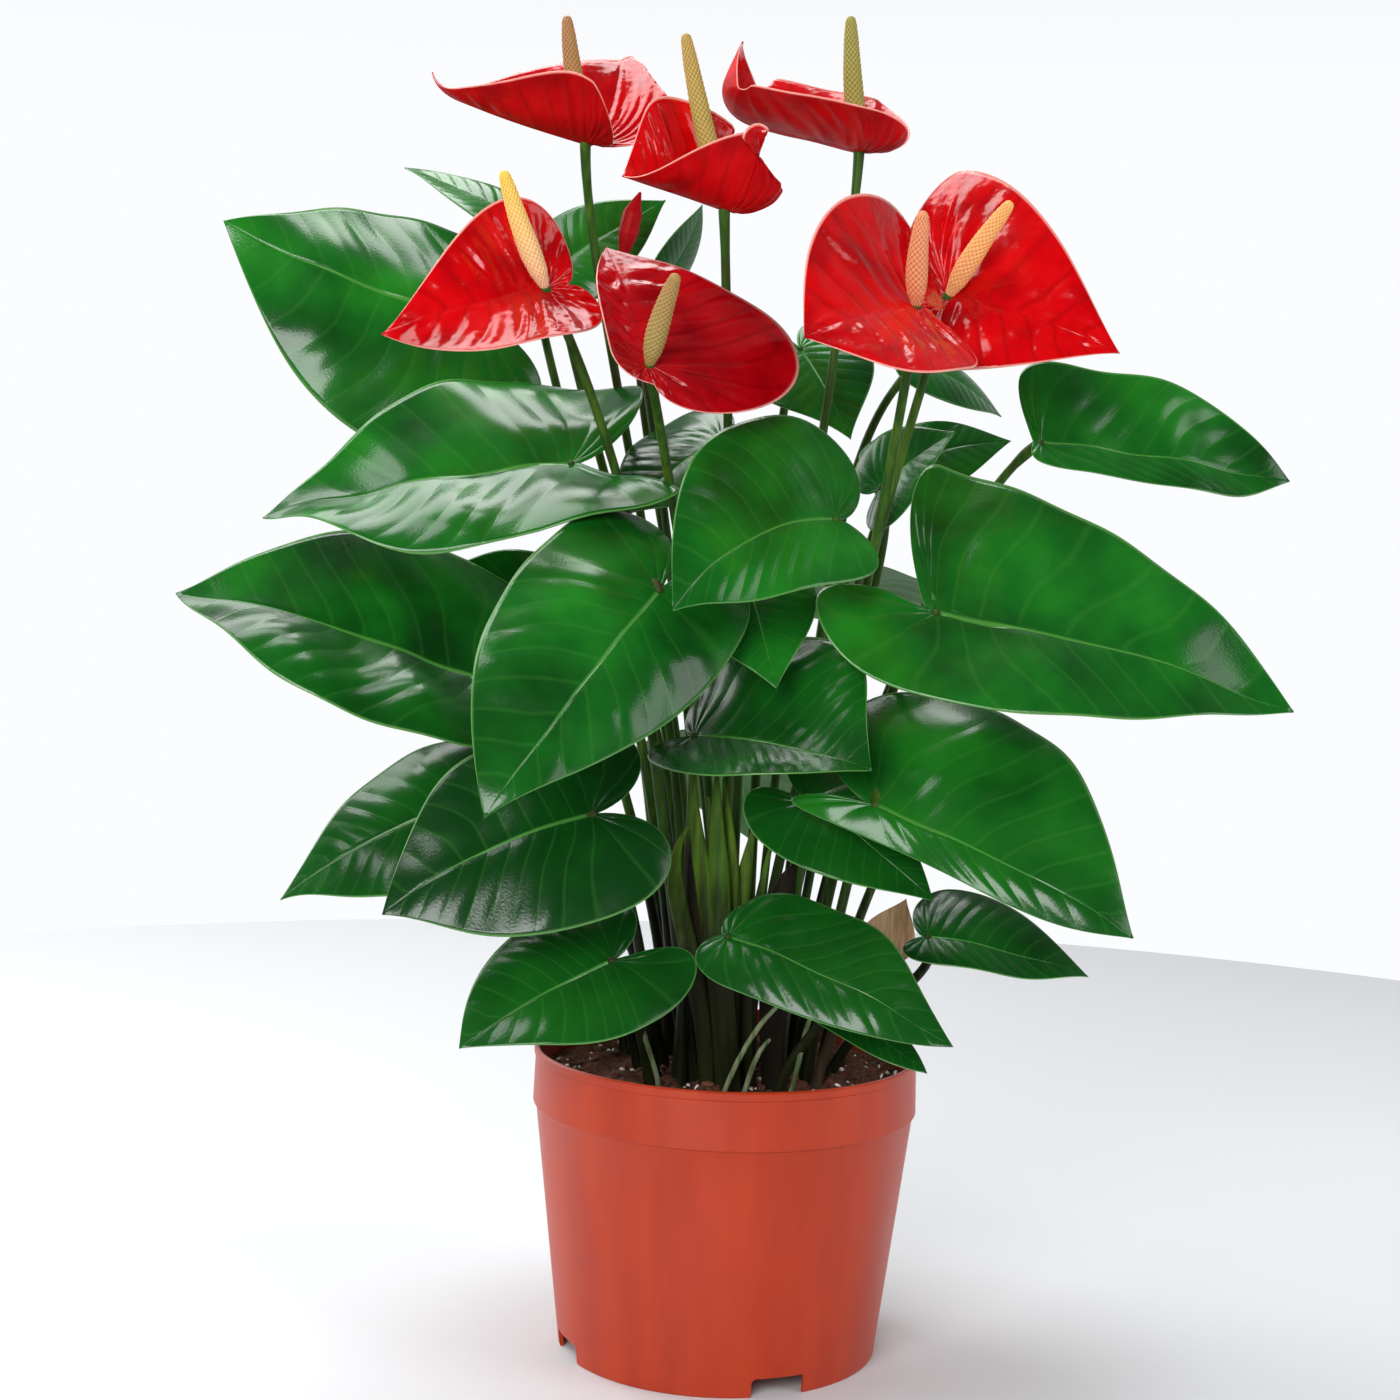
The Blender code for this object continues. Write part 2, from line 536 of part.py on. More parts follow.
# the bud, the shoots and the dry sheath
tapered(
    "bud_spathe", points=((-58, 40, 485), (-57, 39, 494), (-55, 39, 503), (-52, 40, 512)),
    radii=(2.2, 4.6, 4.4, 0.8), colour=SPATHE_RED, in_soil=False,
)
tapered(
    "bud_stem", points=((-8, 24, 116), (-14, 37, 240), (-34, 70, 372), (-58, 40, 484.5)),
    radii=(2.0, 1.9, 1.8, 1.7), colour=STALK_GREEN,
)
tapered(
    "shoot_1", points=((-6, -32, 116), (-2, -38, 160), (-7, -43, 205), (-12, -45, 250)),
    radii=(3.2, 4.2, 3.4, 0.8), colour=SHOOT_GREEN,
)
tapered(
    "shoot_2", points=((11, -34, 116), (6, -42, 150), (7, -48, 190), (15, -50, 232)),
    radii=(3.0, 3.8, 3.0, 0.8), colour=SHOOT_GREEN,
)
leaf(
    "sheath_dry", root=(38, -26), joint=(66, -25, 184), tip=(75, -25, 207), face=(0.2, -1, 0.1),
    colour=DRY_BROWN, width=1.1, droop=5, back_l=-0.12, back_r=-0.12,
)

# the pot: its section in radius and height, turned round the axis
foot_slope = (RIM_RADIUS - COLLAR_STEP - FOOT_RADIUS) / (POT_HEIGHT - COLLAR_HEIGHT)
step_height = POT_HEIGHT - COLLAR_HEIGHT
body_top = FOOT_RADIUS + foot_slope * (step_height - 0.5)
inner_foot = FOOT_RADIUS + foot_slope * RAISED_FLOOR - POT_WALL
section = [
    (0, 0),
    (CENTRE_FLOOR_RADIUS, 0),
    (CENTRE_FLOOR_RADIUS + 3, RAISED_FLOOR),
    (inner_foot, RAISED_FLOOR),
    (FOOT_RADIUS - POT_WALL, 0),
    (FOOT_RADIUS, 0),
    (body_top, step_height - 0.5),
    (body_top + COLLAR_STEP, step_height),
    (RIM_RADIUS - 0.5, POT_HEIGHT - 2),
    (RIM_RADIUS, POT_HEIGHT - 1.5),
    (RIM_RADIUS, POT_HEIGHT),
    (RIM_RADIUS - POT_WALL, POT_HEIGHT),
    (body_top - POT_WALL, step_height - 0.5),
    (inner_foot + 0.3, RAISED_FLOOR + FLOOR_THICK),
    (CENTRE_FLOOR_RADIUS + 1, RAISED_FLOOR + FLOOR_THICK),
    (CENTRE_FLOOR_RADIUS - 2, FLOOR_THICK),
    (0, FLOOR_THICK),
]


def turned(name, outline, steps):
    """A section turned once round the vertical axis."""
    mesh = bpy.data.meshes.new(name)
    points = [(r * MM, 0, z * MM) for r, z in outline]
    mesh.from_pydata(points, [(i, i + 1) for i in range(len(points) - 1)], [])
    obj = bpy.data.objects.new(name, mesh)
    home.objects.link(obj)
    spin = obj.modifiers.new("turn", "SCREW")
    spin.steps = steps
    spin.render_steps = steps
    spin.use_merge_vertices = True
    spin.merge_threshold = 0.0001
    bpy.context.view_layer.update()
    apply_modifiers(obj)
    close_up(obj.data)
    return obj


pot = turned("pot", section, 32)
for number in range(4):
    # the notch reaches through the foot ring below the raised floor
    bearing = math.radians(-90 + NOTCH_TURN + 90 * number)
    away = FOOT_RADIUS * MM
    place = (math.cos(bearing) * away, math.sin(bearing) * away, 0)
    bpy.ops.mesh.primitive_cube_add(size=1, location=place)
    notch = bpy.context.object
    notch.scale = (0.012, NOTCH_WIDTH * MM, 2 * NOTCH_HEIGHT * MM)
    notch.rotation_euler = (0, 0, bearing)
    bpy.context.view_layer.update()
    join_or_cut(pot, notch, "DIFFERENCE")
keep(pot, "pot", POT_ORANGE, 0.35)

# the soil fills the pot to 10 mm below its rim, with a plain hole for each stalk
soil_room = 0.3
low = RAISED_FLOOR + FLOOR_THICK + soil_room
soil = turned(
    "soil",
    [
        (0, low),
        (inner_foot - 0.6, low),
        (body_top - POT_WALL - soil_room - 0.3, step_height - 0.5),
        (RIM_RADIUS - POT_WALL - 1.2, SOIL_TOP - 1.5),
        (55, SOIL_TOP),
        (0, SOIL_TOP),
    ],
    32,
)
holes = bpy.data.collections.new("holes")
bpy.context.scene.collection.children.link(holes)
for path, radii in stalk_cutters:
    # the hole follows the stalk and starts a little below its foot
    start = path[0] - unit(path[1] - path[0]) * 0.5
    hole = rod("hole", [start, path[1]], [radii[0] + GAP, radii[1] + GAP])
    home.objects.unlink(hole)
    holes.objects.link(hole)
drill = soil.modifiers.new("holes", "BOOLEAN")
drill.operation = "DIFFERENCE"
drill.solver = "EXACT"
drill.operand_type = "COLLECTION"
drill.collection = holes
bpy.context.view_layer.update()
apply_modifiers(soil)
for hole in list(holes.objects):
    bpy.data.objects.remove(hole)
keep(soil, "soil", SOIL_BROWN, 0.95)
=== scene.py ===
"""Potted anthurium in its nursery pot: the finished look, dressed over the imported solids.

The frame is in metres, +Z up, and -Y is the side that the photo shows. Lengths below are in millimetres
and angles in degrees, unless a name says otherwise.
"""

import math

import bpy
import numpy as np
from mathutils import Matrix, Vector


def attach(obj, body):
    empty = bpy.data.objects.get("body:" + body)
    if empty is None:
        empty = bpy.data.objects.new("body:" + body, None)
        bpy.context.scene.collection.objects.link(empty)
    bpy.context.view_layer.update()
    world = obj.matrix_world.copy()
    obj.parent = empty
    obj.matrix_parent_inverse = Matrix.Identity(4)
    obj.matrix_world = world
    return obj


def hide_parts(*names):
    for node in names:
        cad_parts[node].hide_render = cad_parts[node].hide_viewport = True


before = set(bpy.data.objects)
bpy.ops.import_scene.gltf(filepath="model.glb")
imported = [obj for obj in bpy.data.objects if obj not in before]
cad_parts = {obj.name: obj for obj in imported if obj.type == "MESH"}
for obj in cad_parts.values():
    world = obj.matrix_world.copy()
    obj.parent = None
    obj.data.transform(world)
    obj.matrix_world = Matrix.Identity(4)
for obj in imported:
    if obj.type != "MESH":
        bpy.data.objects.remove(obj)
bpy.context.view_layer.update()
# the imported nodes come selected, and no operator below may act on them
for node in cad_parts.values():
    node.select_set(False)

# The nursery pot: polypropylene, injection moulded in one shot, with a deep collar, a rolled lip and a
# foot ring with four notches. It stands by its own weight.
MM = 0.001
POT_HEIGHT = 134
RIM_RADIUS = 85
COLLAR_HEIGHT = 25
COLLAR_STEP = 1.3
FOOT_RADIUS = 70.6
POT_WALL = 2
FLOOR_THICK = 2.5
RAISED_FLOOR = 9
CENTRE_FLOOR_RADIUS = 32
HUB_RADIUS = 6
NOTCHES = 4
NOTCH_WIDTH = 24
NOTCH_HEIGHT = 8.5
NOTCH_DEPTH = 12
NOTCH_CORNER = 2
NOTCH_TURN = 21.5
POT_SIDES = 144
SHARP_ANGLE = 28
WELD_GAP = 0.002
MELT_STREAK = 16.7
SPARK_GRAIN = 0.625
TERRACOTTA = "#AC3210"
TERRACOTTA_PALE = "#B63C16"
TERRACOTTA_DEEP = "#A02C0C"


def linear(code):
    """The linear colour of an sRGB hex code."""
    parts = [int(code[i : i + 2], 16) / 255 for i in (1, 3, 5)]
    return (*[c / 12.92 if c <= 0.04045 else ((c + 0.055) / 1.055) ** 2.4 for c in parts], 1)


def scale_of(size):
    """The scale of a pattern whose features are this many millimetres across."""
    return 1 / (size * MM)


def add(finish, kind, inputs=None, stops=None, **settings):
    """Adds a node: inputs by name or number, as values or as sockets that feed it, and stops for a ramp."""
    made = finish.node_tree.nodes.new("ShaderNode" + kind)
    for name, value in settings.items():
        setattr(made, name, value)
    if stops:
        colours = made.color_ramp.elements
        while len(colours) < len(stops):
            colours.new(0.5)
        for colour, (place, code) in zip(colours, stops):
            colour.position = place
            colour.color = linear(code)
    for name, value in (inputs or {}).items():
        if isinstance(value, bpy.types.NodeSocket):
            finish.node_tree.links.new(value, made.inputs[name])
        else:
            made.inputs[name].default_value = value
    return made


def new_finish(name, **values):
    """A material whose shader has these values on its own sockets, named with spaces as underscores."""
    finish = bpy.data.materials.new(name)
    finish.use_nodes = True
    shader = finish.node_tree.nodes["Principled BSDF"]
    for key, value in values.items():
        shader.inputs[key.replace("_", " ")].default_value = value
    return finish, shader


def wear(finish, shader, colour, roughness, normal=None):
    """Links the patterns of a finish to its shader."""
    for name, socket in (("Base Color", colour), ("Roughness", roughness), ("Normal", normal)):
        if socket is not None:
            finish.node_tree.links.new(socket, shader.inputs[name])


def turn_out(name):
    """Merges the doubles of the piece in hand, turns its faces outward and names it."""
    bpy.ops.object.mode_set(mode="EDIT")
    bpy.ops.mesh.select_all(action="SELECT")
    bpy.ops.mesh.remove_doubles(threshold=WELD_GAP * MM)
    bpy.ops.mesh.normals_make_consistent(inside=False)
    bpy.ops.object.mode_set(mode="OBJECT")
    bpy.ops.object.shade_smooth()
    obj = bpy.context.object
    obj.name = name
    obj.data.name = name
    return obj


def turned(name, section, sides):
    """A ring of points drawn out along a section of (radius, height), both ends closed flat."""
    radius, height = section[0]
    bpy.ops.mesh.primitive_circle_add(vertices=sides, radius=radius * MM, location=(0, 0, height * MM))
    bpy.ops.object.transform_apply(location=True, rotation=False, scale=False)
    bpy.ops.object.mode_set(mode="EDIT")
    bpy.ops.mesh.edge_face_add()
    for far, up in section[1:]:
        bpy.ops.mesh.extrude_region_move(TRANSFORM_OT_translate={"value": (0, 0, (up - height) * MM)})
        bpy.ops.transform.resize(value=(far / radius, far / radius, 1), center_override=(0, 0, 0))
        radius, height = far, up
    bpy.ops.object.mode_set(mode="OBJECT")
    return turn_out(name)


def apply_all(obj):
    """Applies the modifiers of a piece in their order."""
    bpy.context.view_layer.objects.active = obj
    for step in list(obj.modifiers):
        bpy.ops.object.modifier_apply(modifier=step.name)


def dress(piece, material_slot, *nodes):
    """A finished piece rides on the one body and stands for its solids, which it hides; material_slot is not
    used.
    """
    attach(piece, "root")
    if nodes:
        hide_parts(*nodes)
    bpy.ops.object.select_all(action="DESELECT")


step_height = POT_HEIGHT - COLLAR_HEIGHT
foot_slope = (RIM_RADIUS - COLLAR_STEP - FOOT_RADIUS) / step_height
body_top = FOOT_RADIUS + foot_slope * (step_height - 0.5)
inner_foot = FOOT_RADIUS + foot_slope * RAISED_FLOOR - POT_WALL
pot = turned(
    "pot_fine",
    [
        (HUB_RADIUS, 0),
        (CENTRE_FLOOR_RADIUS, 0),
        (CENTRE_FLOOR_RADIUS + 3, RAISED_FLOOR),
        (inner_foot, RAISED_FLOOR),
        (FOOT_RADIUS - POT_WALL, 0.3),
        (FOOT_RADIUS - POT_WALL + 0.3, 0),
        (FOOT_RADIUS - 0.5, 0),
        (FOOT_RADIUS, 0.7),
        (FOOT_RADIUS + foot_slope * 40, 40),
        (FOOT_RADIUS + foot_slope * 80, 80),
        (body_top - 0.05, step_height - 0.9),
        (body_top + 0.25, step_height - 0.4),
        (body_top + COLLAR_STEP - 0.3, step_height),
        (body_top + COLLAR_STEP, step_height + 0.5),
        (RIM_RADIUS - 0.65, POT_HEIGHT - 4.2),
        (RIM_RADIUS - 0.1, POT_HEIGHT - 3.6),
        (RIM_RADIUS, POT_HEIGHT - 3),
        (RIM_RADIUS, POT_HEIGHT - 0.7),
        (RIM_RADIUS - 0.6, POT_HEIGHT),
        (RIM_RADIUS - POT_WALL + 0.5, POT_HEIGHT),
        (RIM_RADIUS - POT_WALL, POT_HEIGHT - 0.6),
        (body_top - POT_WALL, step_height - 0.5),
        (inner_foot + 0.3, RAISED_FLOOR + FLOOR_THICK),
        (CENTRE_FLOOR_RADIUS + 1, RAISED_FLOOR + FLOOR_THICK),
        (CENTRE_FLOOR_RADIUS - 2, FLOOR_THICK),
        (HUB_RADIUS, FLOOR_THICK),
    ],
    POT_SIDES,
)
for number in range(NOTCHES):
    bearing = math.radians(-90 + NOTCH_TURN + 360 / NOTCHES * number)
    place = (math.cos(bearing) * FOOT_RADIUS * MM, math.sin(bearing) * FOOT_RADIUS * MM, 0)
    bpy.ops.mesh.primitive_cube_add(size=1, location=place, rotation=(0, 0, bearing))
    notch = bpy.context.object
    notch.scale = (NOTCH_DEPTH * MM, NOTCH_WIDTH * MM, 2 * NOTCH_HEIGHT * MM)
    bpy.ops.object.transform_apply(location=False, rotation=False, scale=True)
    rounding = notch.modifiers.new("corners", "BEVEL")
    rounding.width = NOTCH_CORNER * MM
    rounding.segments = 4
    apply_all(notch)
    cut = pot.modifiers.new("notch", "BOOLEAN")
    cut.operation = "DIFFERENCE"
    cut.solver = "EXACT"
    cut.object = notch
    apply_all(pot)
    bpy.data.objects.remove(notch)
pot.select_set(True)
bpy.ops.object.shade_smooth_by_angle(angle=math.radians(SHARP_ANGLE))

# moulded polypropylene: satin, with faint streaks where the melt flowed up and a spark-eroded grain, a
# little coarser than the real one so that it shows
plastic, plastic_shader = new_finish("polypropylene_terracotta_moulded", IOR=1.43)
at = add(plastic, "TexCoord").outputs["Object"]
flow = add(plastic, "Mapping", {"Vector": at, "Scale": (1, 1, 0.15)})
streaks = add(
    plastic, "TexNoise", {"Vector": flow.outputs[0], "Scale": scale_of(MELT_STREAK), "Detail": 3}
).outputs[0]
paint = add(
    plastic, "ValToRGB", {"Fac": streaks},
    stops=[(0.25, TERRACOTTA_DEEP), (0.5, TERRACOTTA), (0.8, TERRACOTTA_PALE)],
)
grain = add(plastic, "TexNoise", {"Vector": at, "Scale": scale_of(SPARK_GRAIN), "Detail": 1})
rough = add(
    plastic, "MapRange", {"Value": streaks, "From Min": 0.3, "From Max": 0.7, "To Min": 0.34, "To Max": 0.46}
)
relief = add(plastic, "Bump", {"Height": grain.outputs[0], "Strength": 0.12, "Distance": 0.3 * MM})
wear(plastic, plastic_shader, paint.outputs[0], rough.outputs[0], relief.outputs[0])
pot.data.materials.append(plastic)
dress(pot, "pot_terracotta", "pot")

# The potting mix: peat with pine bark and perlite, pressed in by hand to 10 mm below the rim. The lumps
# are one skin; the bark chips and the perlite grains lie on it as loose pieces.
SOIL_TOP = 124
SOIL_GAP = 0.9
SOIL_CELLS = 110
# the height, the width and the seed of each size of lump
SOIL_LUMPS = ((1.6, 9, 3), (0.8, 3.5, 4), (0.4, 1.6, 5))
# the soil rises this much over this way in from the wall
EDGE_RISE = 2.5
EDGE_WAY = 12
SOIL_DEPTH = 24
SOIL_TAPER = 0.96
CHIP_SIZE = 5
CHIP_COUNT = 240
GRAIN_SIZE = 2.4
GRAIN_COUNT = 150
STONE_ROUGH = 0.12
STONE_LIFT = 0.15
WALL_MARGIN = 4
RIPPLE_WAVES = 8
PEAT = "#5C3222"
PEAT_HOLLOW_SHADE = "#341A12"
PEAT_DRY = "#82543F"
BARK_DARK = "#3C2418"
BARK_RED = "#7E4A2E"
PERLITE = "#E9E6DC"


def ripple(points, size, seed):
    """A soft irregular swell between about -1 and 1, whose bumps are about this far across."""
    rng = np.random.default_rng(seed)
    ways = rng.normal(size=(RIPPLE_WAVES, 3))
    ways /= np.linalg.norm(ways, axis=1)[:, None]
    starts = rng.uniform(0, 2 * math.pi, RIPPLE_WAVES)
    return np.sin(points @ ways.T * (math.pi / size) + starts).sum(1) / 3


def triples(items, field):
    """The three numbers that each item holds in a field, as rows."""
    flat = np.empty(len(items) * 3)
    items.foreach_get(field, flat)
    return flat.reshape(-1, 3)


def points_of(obj):
    """The places of a piece's points, in millimetres."""
    return triples(obj.data.vertices, "co") / MM


def put(obj, points):
    """Moves a piece's points to these places, in millimetres."""
    obj.data.vertices.foreach_set("co", (points * MM).ravel())
    obj.data.update()


def join(pieces):
    """Makes one piece of several."""
    bpy.ops.object.select_all(action="DESELECT")
    for piece in pieces:
        piece.select_set(True)
    bpy.context.view_layer.objects.active = pieces[0]
    bpy.ops.object.join()


soil_reach = RIM_RADIUS - POT_WALL - SOIL_GAP
bpy.ops.mesh.primitive_grid_add(x_subdivisions=SOIL_CELLS, y_subdivisions=SOIL_CELLS, size=2)
soil = bpy.context.object
square = points_of(soil) * MM
disc = square[:, :2] * np.sqrt(1 - square[:, 1::-1] ** 2 / 2) * soil_reach
lumps = sum(high * ripple(square * soil_reach, wide, seed) for high, wide, seed in SOIL_LUMPS)
inward = np.clip((soil_reach - np.hypot(*disc.T)) / EDGE_WAY, 0, 1)
# the lumps are a third as high at the wall
heights = SOIL_TOP - EDGE_RISE + lumps * (0.3 + 0.7 * inward) + EDGE_RISE * inward
put(soil, np.column_stack([disc, heights]))
bpy.ops.object.mode_set(mode="EDIT")
bpy.ops.mesh.select_all(action="DESELECT")
bpy.ops.mesh.select_non_manifold()
bpy.ops.mesh.extrude_region_move(TRANSFORM_OT_translate={"value": (0, 0, -SOIL_DEPTH * MM)})
bottom = (0, 0, (SOIL_TOP - SOIL_DEPTH) * MM)
bpy.ops.transform.resize(value=(SOIL_TAPER, SOIL_TAPER, 0), center_override=bottom)
bpy.ops.mesh.edge_face_add()
soil = turn_out("soil_fine")
soil_points = points_of(soil)


def scatter(name, count, size, flat, seed):
    """Small rough stones, each with its own turn and size, strewn on the soil as one piece."""
    rng = np.random.default_rng(seed)
    bpy.ops.mesh.primitive_ico_sphere_add(subdivisions=2, radius=size / 2 * MM)
    stone = bpy.context.object
    form = points_of(stone)
    copies = []
    for number in range(count):
        scale = rng.uniform(0.5, 1.3)
        stretch = np.array([1, rng.uniform(0.4, 0.8), flat * rng.uniform(0.6, 1.2)])
        dents = form / size * ripple(form, size / 2, seed + number)[:, None] * size * STONE_ROUGH
        spin = rng.uniform(0, 2 * math.pi)
        tip = rng.normal(0, 0.35)
        out = math.sqrt(rng.uniform(0, 1)) * (soil_reach - WALL_MARGIN)
        bearing = rng.uniform(0, 2 * math.pi)
        c, s = math.cos(spin), math.sin(spin)
        grown = (form * scale * stretch + dents) @ np.array([[c, s, 0], [-s, c, 0], [0, 0, 1]])
        grown[:, 2] += grown[:, 0] * tip
        here = np.array([out * math.cos(bearing), out * math.sin(bearing), 0.0])
        near = np.argmin(np.hypot(*(soil_points[:, :2] - here[:2]).T))
        here[2] = soil_points[near, 2] + size * flat * STONE_LIFT
        copy = stone.copy()
        copy.data = stone.data.copy()
        bpy.context.collection.objects.link(copy)
        put(copy, grown + here)
        copies.append(copy)
    bpy.data.objects.remove(stone)
    join(copies)
    return turn_out(name)


def crumbly(name, ior, size, detail, stops, roughness, strength, depth, grit=0.5):
    """A dull crumbly stuff, mottled by one noise in its colour, its roughness and its relief."""
    finish, shader = new_finish(name, IOR=ior)
    at = add(finish, "TexCoord").outputs["Object"]
    noise = add(
        finish, "TexNoise", {"Vector": at, "Scale": scale_of(size), "Detail": detail, "Roughness": grit}
    ).outputs[0]
    paint = add(finish, "ValToRGB", {"Fac": noise}, stops=stops)
    rough = add(finish, "MapRange", {"Value": noise, "To Min": roughness[0], "To Max": roughness[1]})
    relief = add(finish, "Bump", {"Height": noise, "Strength": strength, "Distance": depth * MM})
    wear(finish, shader, paint.outputs[0], rough.outputs[0], relief.outputs[0])
    return finish


bark = scatter("soil_bark", CHIP_COUNT, CHIP_SIZE, flat=0.45, seed=11)
perlite = scatter("soil_perlite", GRAIN_COUNT, GRAIN_SIZE, flat=0.8, seed=12)
# damp peat: matt crumbs 2.4 mm across, with painted shade darkening the hollows of their relief
soil.data.materials.append(crumbly(
    "peat_potting_mix", ior=1.4, size=2.38, detail=6,
    stops=[(0.35, PEAT_HOLLOW_SHADE), (0.52, PEAT), (0.72, PEAT_DRY)],
    roughness=(0.7, 1), strength=0.9, depth=1.2, grit=0.7,
))
# composted pine bark: layered and dull, some chips redder
bark.data.materials.append(crumbly(
    "pine_bark_composted", ior=1.45, size=6.25, detail=4, stops=[(0.35, BARK_DARK), (0.75, BARK_RED)],
    roughness=(0.6, 0.9), strength=0.6, depth=0.6,
))
# expanded perlite: chalky white glass foam, stained by the peat
perlite.data.materials.append(crumbly(
    "perlite_expanded", ior=1.5, size=3.33, detail=3, stops=[(0.3, BARK_RED), (0.45, PERLITE)],
    roughness=(0.75, 0.95), strength=0.5, depth=0.4,
))
dress(soil, "soil_brown", "soil")
dress(bark, "soil_brown")
dress(perlite, "soil_brown")

# The leaves: heart-shaped blades with a waxy skin, sunken side veins that leave the midrib in arcs, a pale
# hard margin, and a round stalk that swells just under the blade. Each grows from the crown in the soil.
BLADE_THICK = 0.8
ROOT_DEPTH = 8
# Outlines in shares of a blade's length, with its joint at 0 and its tip at 1: sinus is where the notch
# between the lobes ends, open how wide it gapes and back how far the lobes are drawn behind the joint;
# crown is where the blade is widest and half is half its width; shoulder is how far on it stays wide, and
# narrow how wide it still is near the tip. A name that ends in _l or _r, further down, is for one half.
OUTLINES = {
    "leaf": dict(sinus=-0.03, open=0.07, back=-0.42, crown=0.12, half=0.46, shoulder=0.52, narrow=0.16),
    "spathe": dict(sinus=-0.13, open=0.05, back=-0.52, crown=0.05, half=0.58, shoulder=0.44, narrow=0.13),
}
LOBE_ROUND = 0.02
NARROW_AT = 0.74
VEIN_ARC = 0.1
VEIN_CLOSE = 0.6
HALF_BLADE = 0.46
LOBE_BLADE = 0.35
# How a blade that is told nothing else is bent: droop and hook bend its tip down, turn_back its lobes, and
# skew sweeps it aside; fold lifts both halves from the midrib and curl rolls them down again, with lean
# and tilt for the difference between the two; wave, waves and phase ruffle the margin.
BENDS = dict(
    droop=25, hook=0, hook_from=0.65, hook_over=0.35, turn_back=10, fold=8, lean=0, curl=25, tilt=0,
    wave=0, waves=1.5, phase=0, skew=0,
)
FOLD_ROUND = {"leaf": 0.04, "spathe": 0.14}
# side veins of half a blade, ahead of the joint and in the lobe, and how far they stray
VEINS = {"leaf": (9, 4), "spathe": (7, 5)}
VEIN_STRAY = 0.22
STRAY_SIZE = 30
# how far the skin of a blade this long swells between two veins, and how far the whole blade waves, but
# for a calm place round the joint
FULL_LENGTH = 110
CALM_RADIUS = 25
QUILT = {"leaf": 0.55, "spathe": 0.75}
SWELL = {"leaf": 1.7, "spathe": 0.8}
SWELL_SIZE = 21
CRINKLE = 0.42
CRINKLE_SIZE = 2.3
MIDRIB_SUNK = 0.5
MIDRIB_PROUD = 0.9
# rows in the lobe, rows ahead and columns on each side, for a long blade and for a short one
LONG_BLADE = 66
FINE_GRID = (30, 56, 24)
SMALL_GRID = (24, 42, 18)
# how much fresher (or, below zero, deeper) a leaf is than the rest; the deep tone of leaf_17 is painted
# shade, for the leaves above it
LEAF_TONES_AND_SHADE = {
    "leaf_01": 0.06, "leaf_02": 0.03, "leaf_03": -0.05, "leaf_08": 0.03, "leaf_12": 0.04, "leaf_16": -0.06,
    "leaf_17": -0.2, "leaf_18": 0.02, "leaf_19": 0.03, "leaf_21": 0.14, "leaf_22": -0.04, "leaf_23": -0.1,
}
STALK_RADII = (2.5, 1.9)
STALK_SPANS = 48
STALK_SIDES = 14
KNEE_RADIUS = 2.5
KNEE_LENGTH = 14
FOOT_FLARE = 1.2
LEAF_DEEP = "#08360D"
LEAF_GREEN = "#115C17"
LEAF_FRESH = "#227F1E"
LEAF_VEIN = "#4E923A"
LEAF_MARGIN = "#568E44"
LEAF_UNDER = "#356C26"
STALK_GREEN = "#294D12"
STALK_OLIVE = "#3A381A"
STALK_PALE = "#48661C"
FOOT_BROWN_AND_SHADE = "#17130B"
# how far the edge of the dark foot frays up and down: brown of old sheath remains, deepened by painted shade
FOOT_FRAY = 50


def unit(v):
    """The direction of a vector."""
    v = np.asarray(v, float)
    return v / np.linalg.norm(v)


def bezier(points, t):
    """Points on a cubic curve through its first and last control point."""
    a, b, c, d = (np.array(p, float) for p in points)
    t = np.asarray(t, float)[..., None]
    s = 1 - t
    return s**3 * a + 3 * s**2 * t * b + 3 * s * t**2 * c + t**3 * d


def edge_of(shape, width, row, side):
    """The outline of one half: rows -1 to 0 go round its lobe, rows 0 to 1 run on to the tip."""
    k = {key: shape.get(key + side, shape[key]) for key in OUTLINES["leaf"]}
    w = k["half"] * width
    lobe = [(k["sinus"], 0), (k["back"], k["open"]), (k["back"] + LOBE_ROUND, w), (k["crown"], w)]
    rest = [(k["crown"], w), (k["shoulder"], w), (NARROW_AT, k["narrow"]), (1, 0)]
    behind = bezier(lobe, np.clip(row + 1, 0, 1))
    ahead = bezier(rest, np.clip(row, 0, 1))
    return np.where((row < 0)[..., None], behind, ahead)


def flat_blade(shape, width, row, across):
    """The blade laid flat: each row is a side vein that arcs from the midrib to the margin."""
    left = across > 0
    edge = np.where(left[..., None], edge_of(shape, width, row, "_l"), edge_of(shape, width, row, "_r"))
    root = np.stack([edge[..., 0] * np.clip(row, 0, 1) ** VEIN_CLOSE, np.zeros_like(row)], -1)
    middle = (edge + root) / 2
    middle[..., 0] -= VEIN_ARC * np.linalg.norm(edge - root, axis=-1) * np.clip(1 + row, 0, 1)
    v = np.abs(across)[..., None]
    flat = (1 - v) ** 2 * root + 2 * v * (1 - v) * middle + v**2 * edge
    flat[..., 1] *= np.where(left, 1.0, -1.0)
    return flat


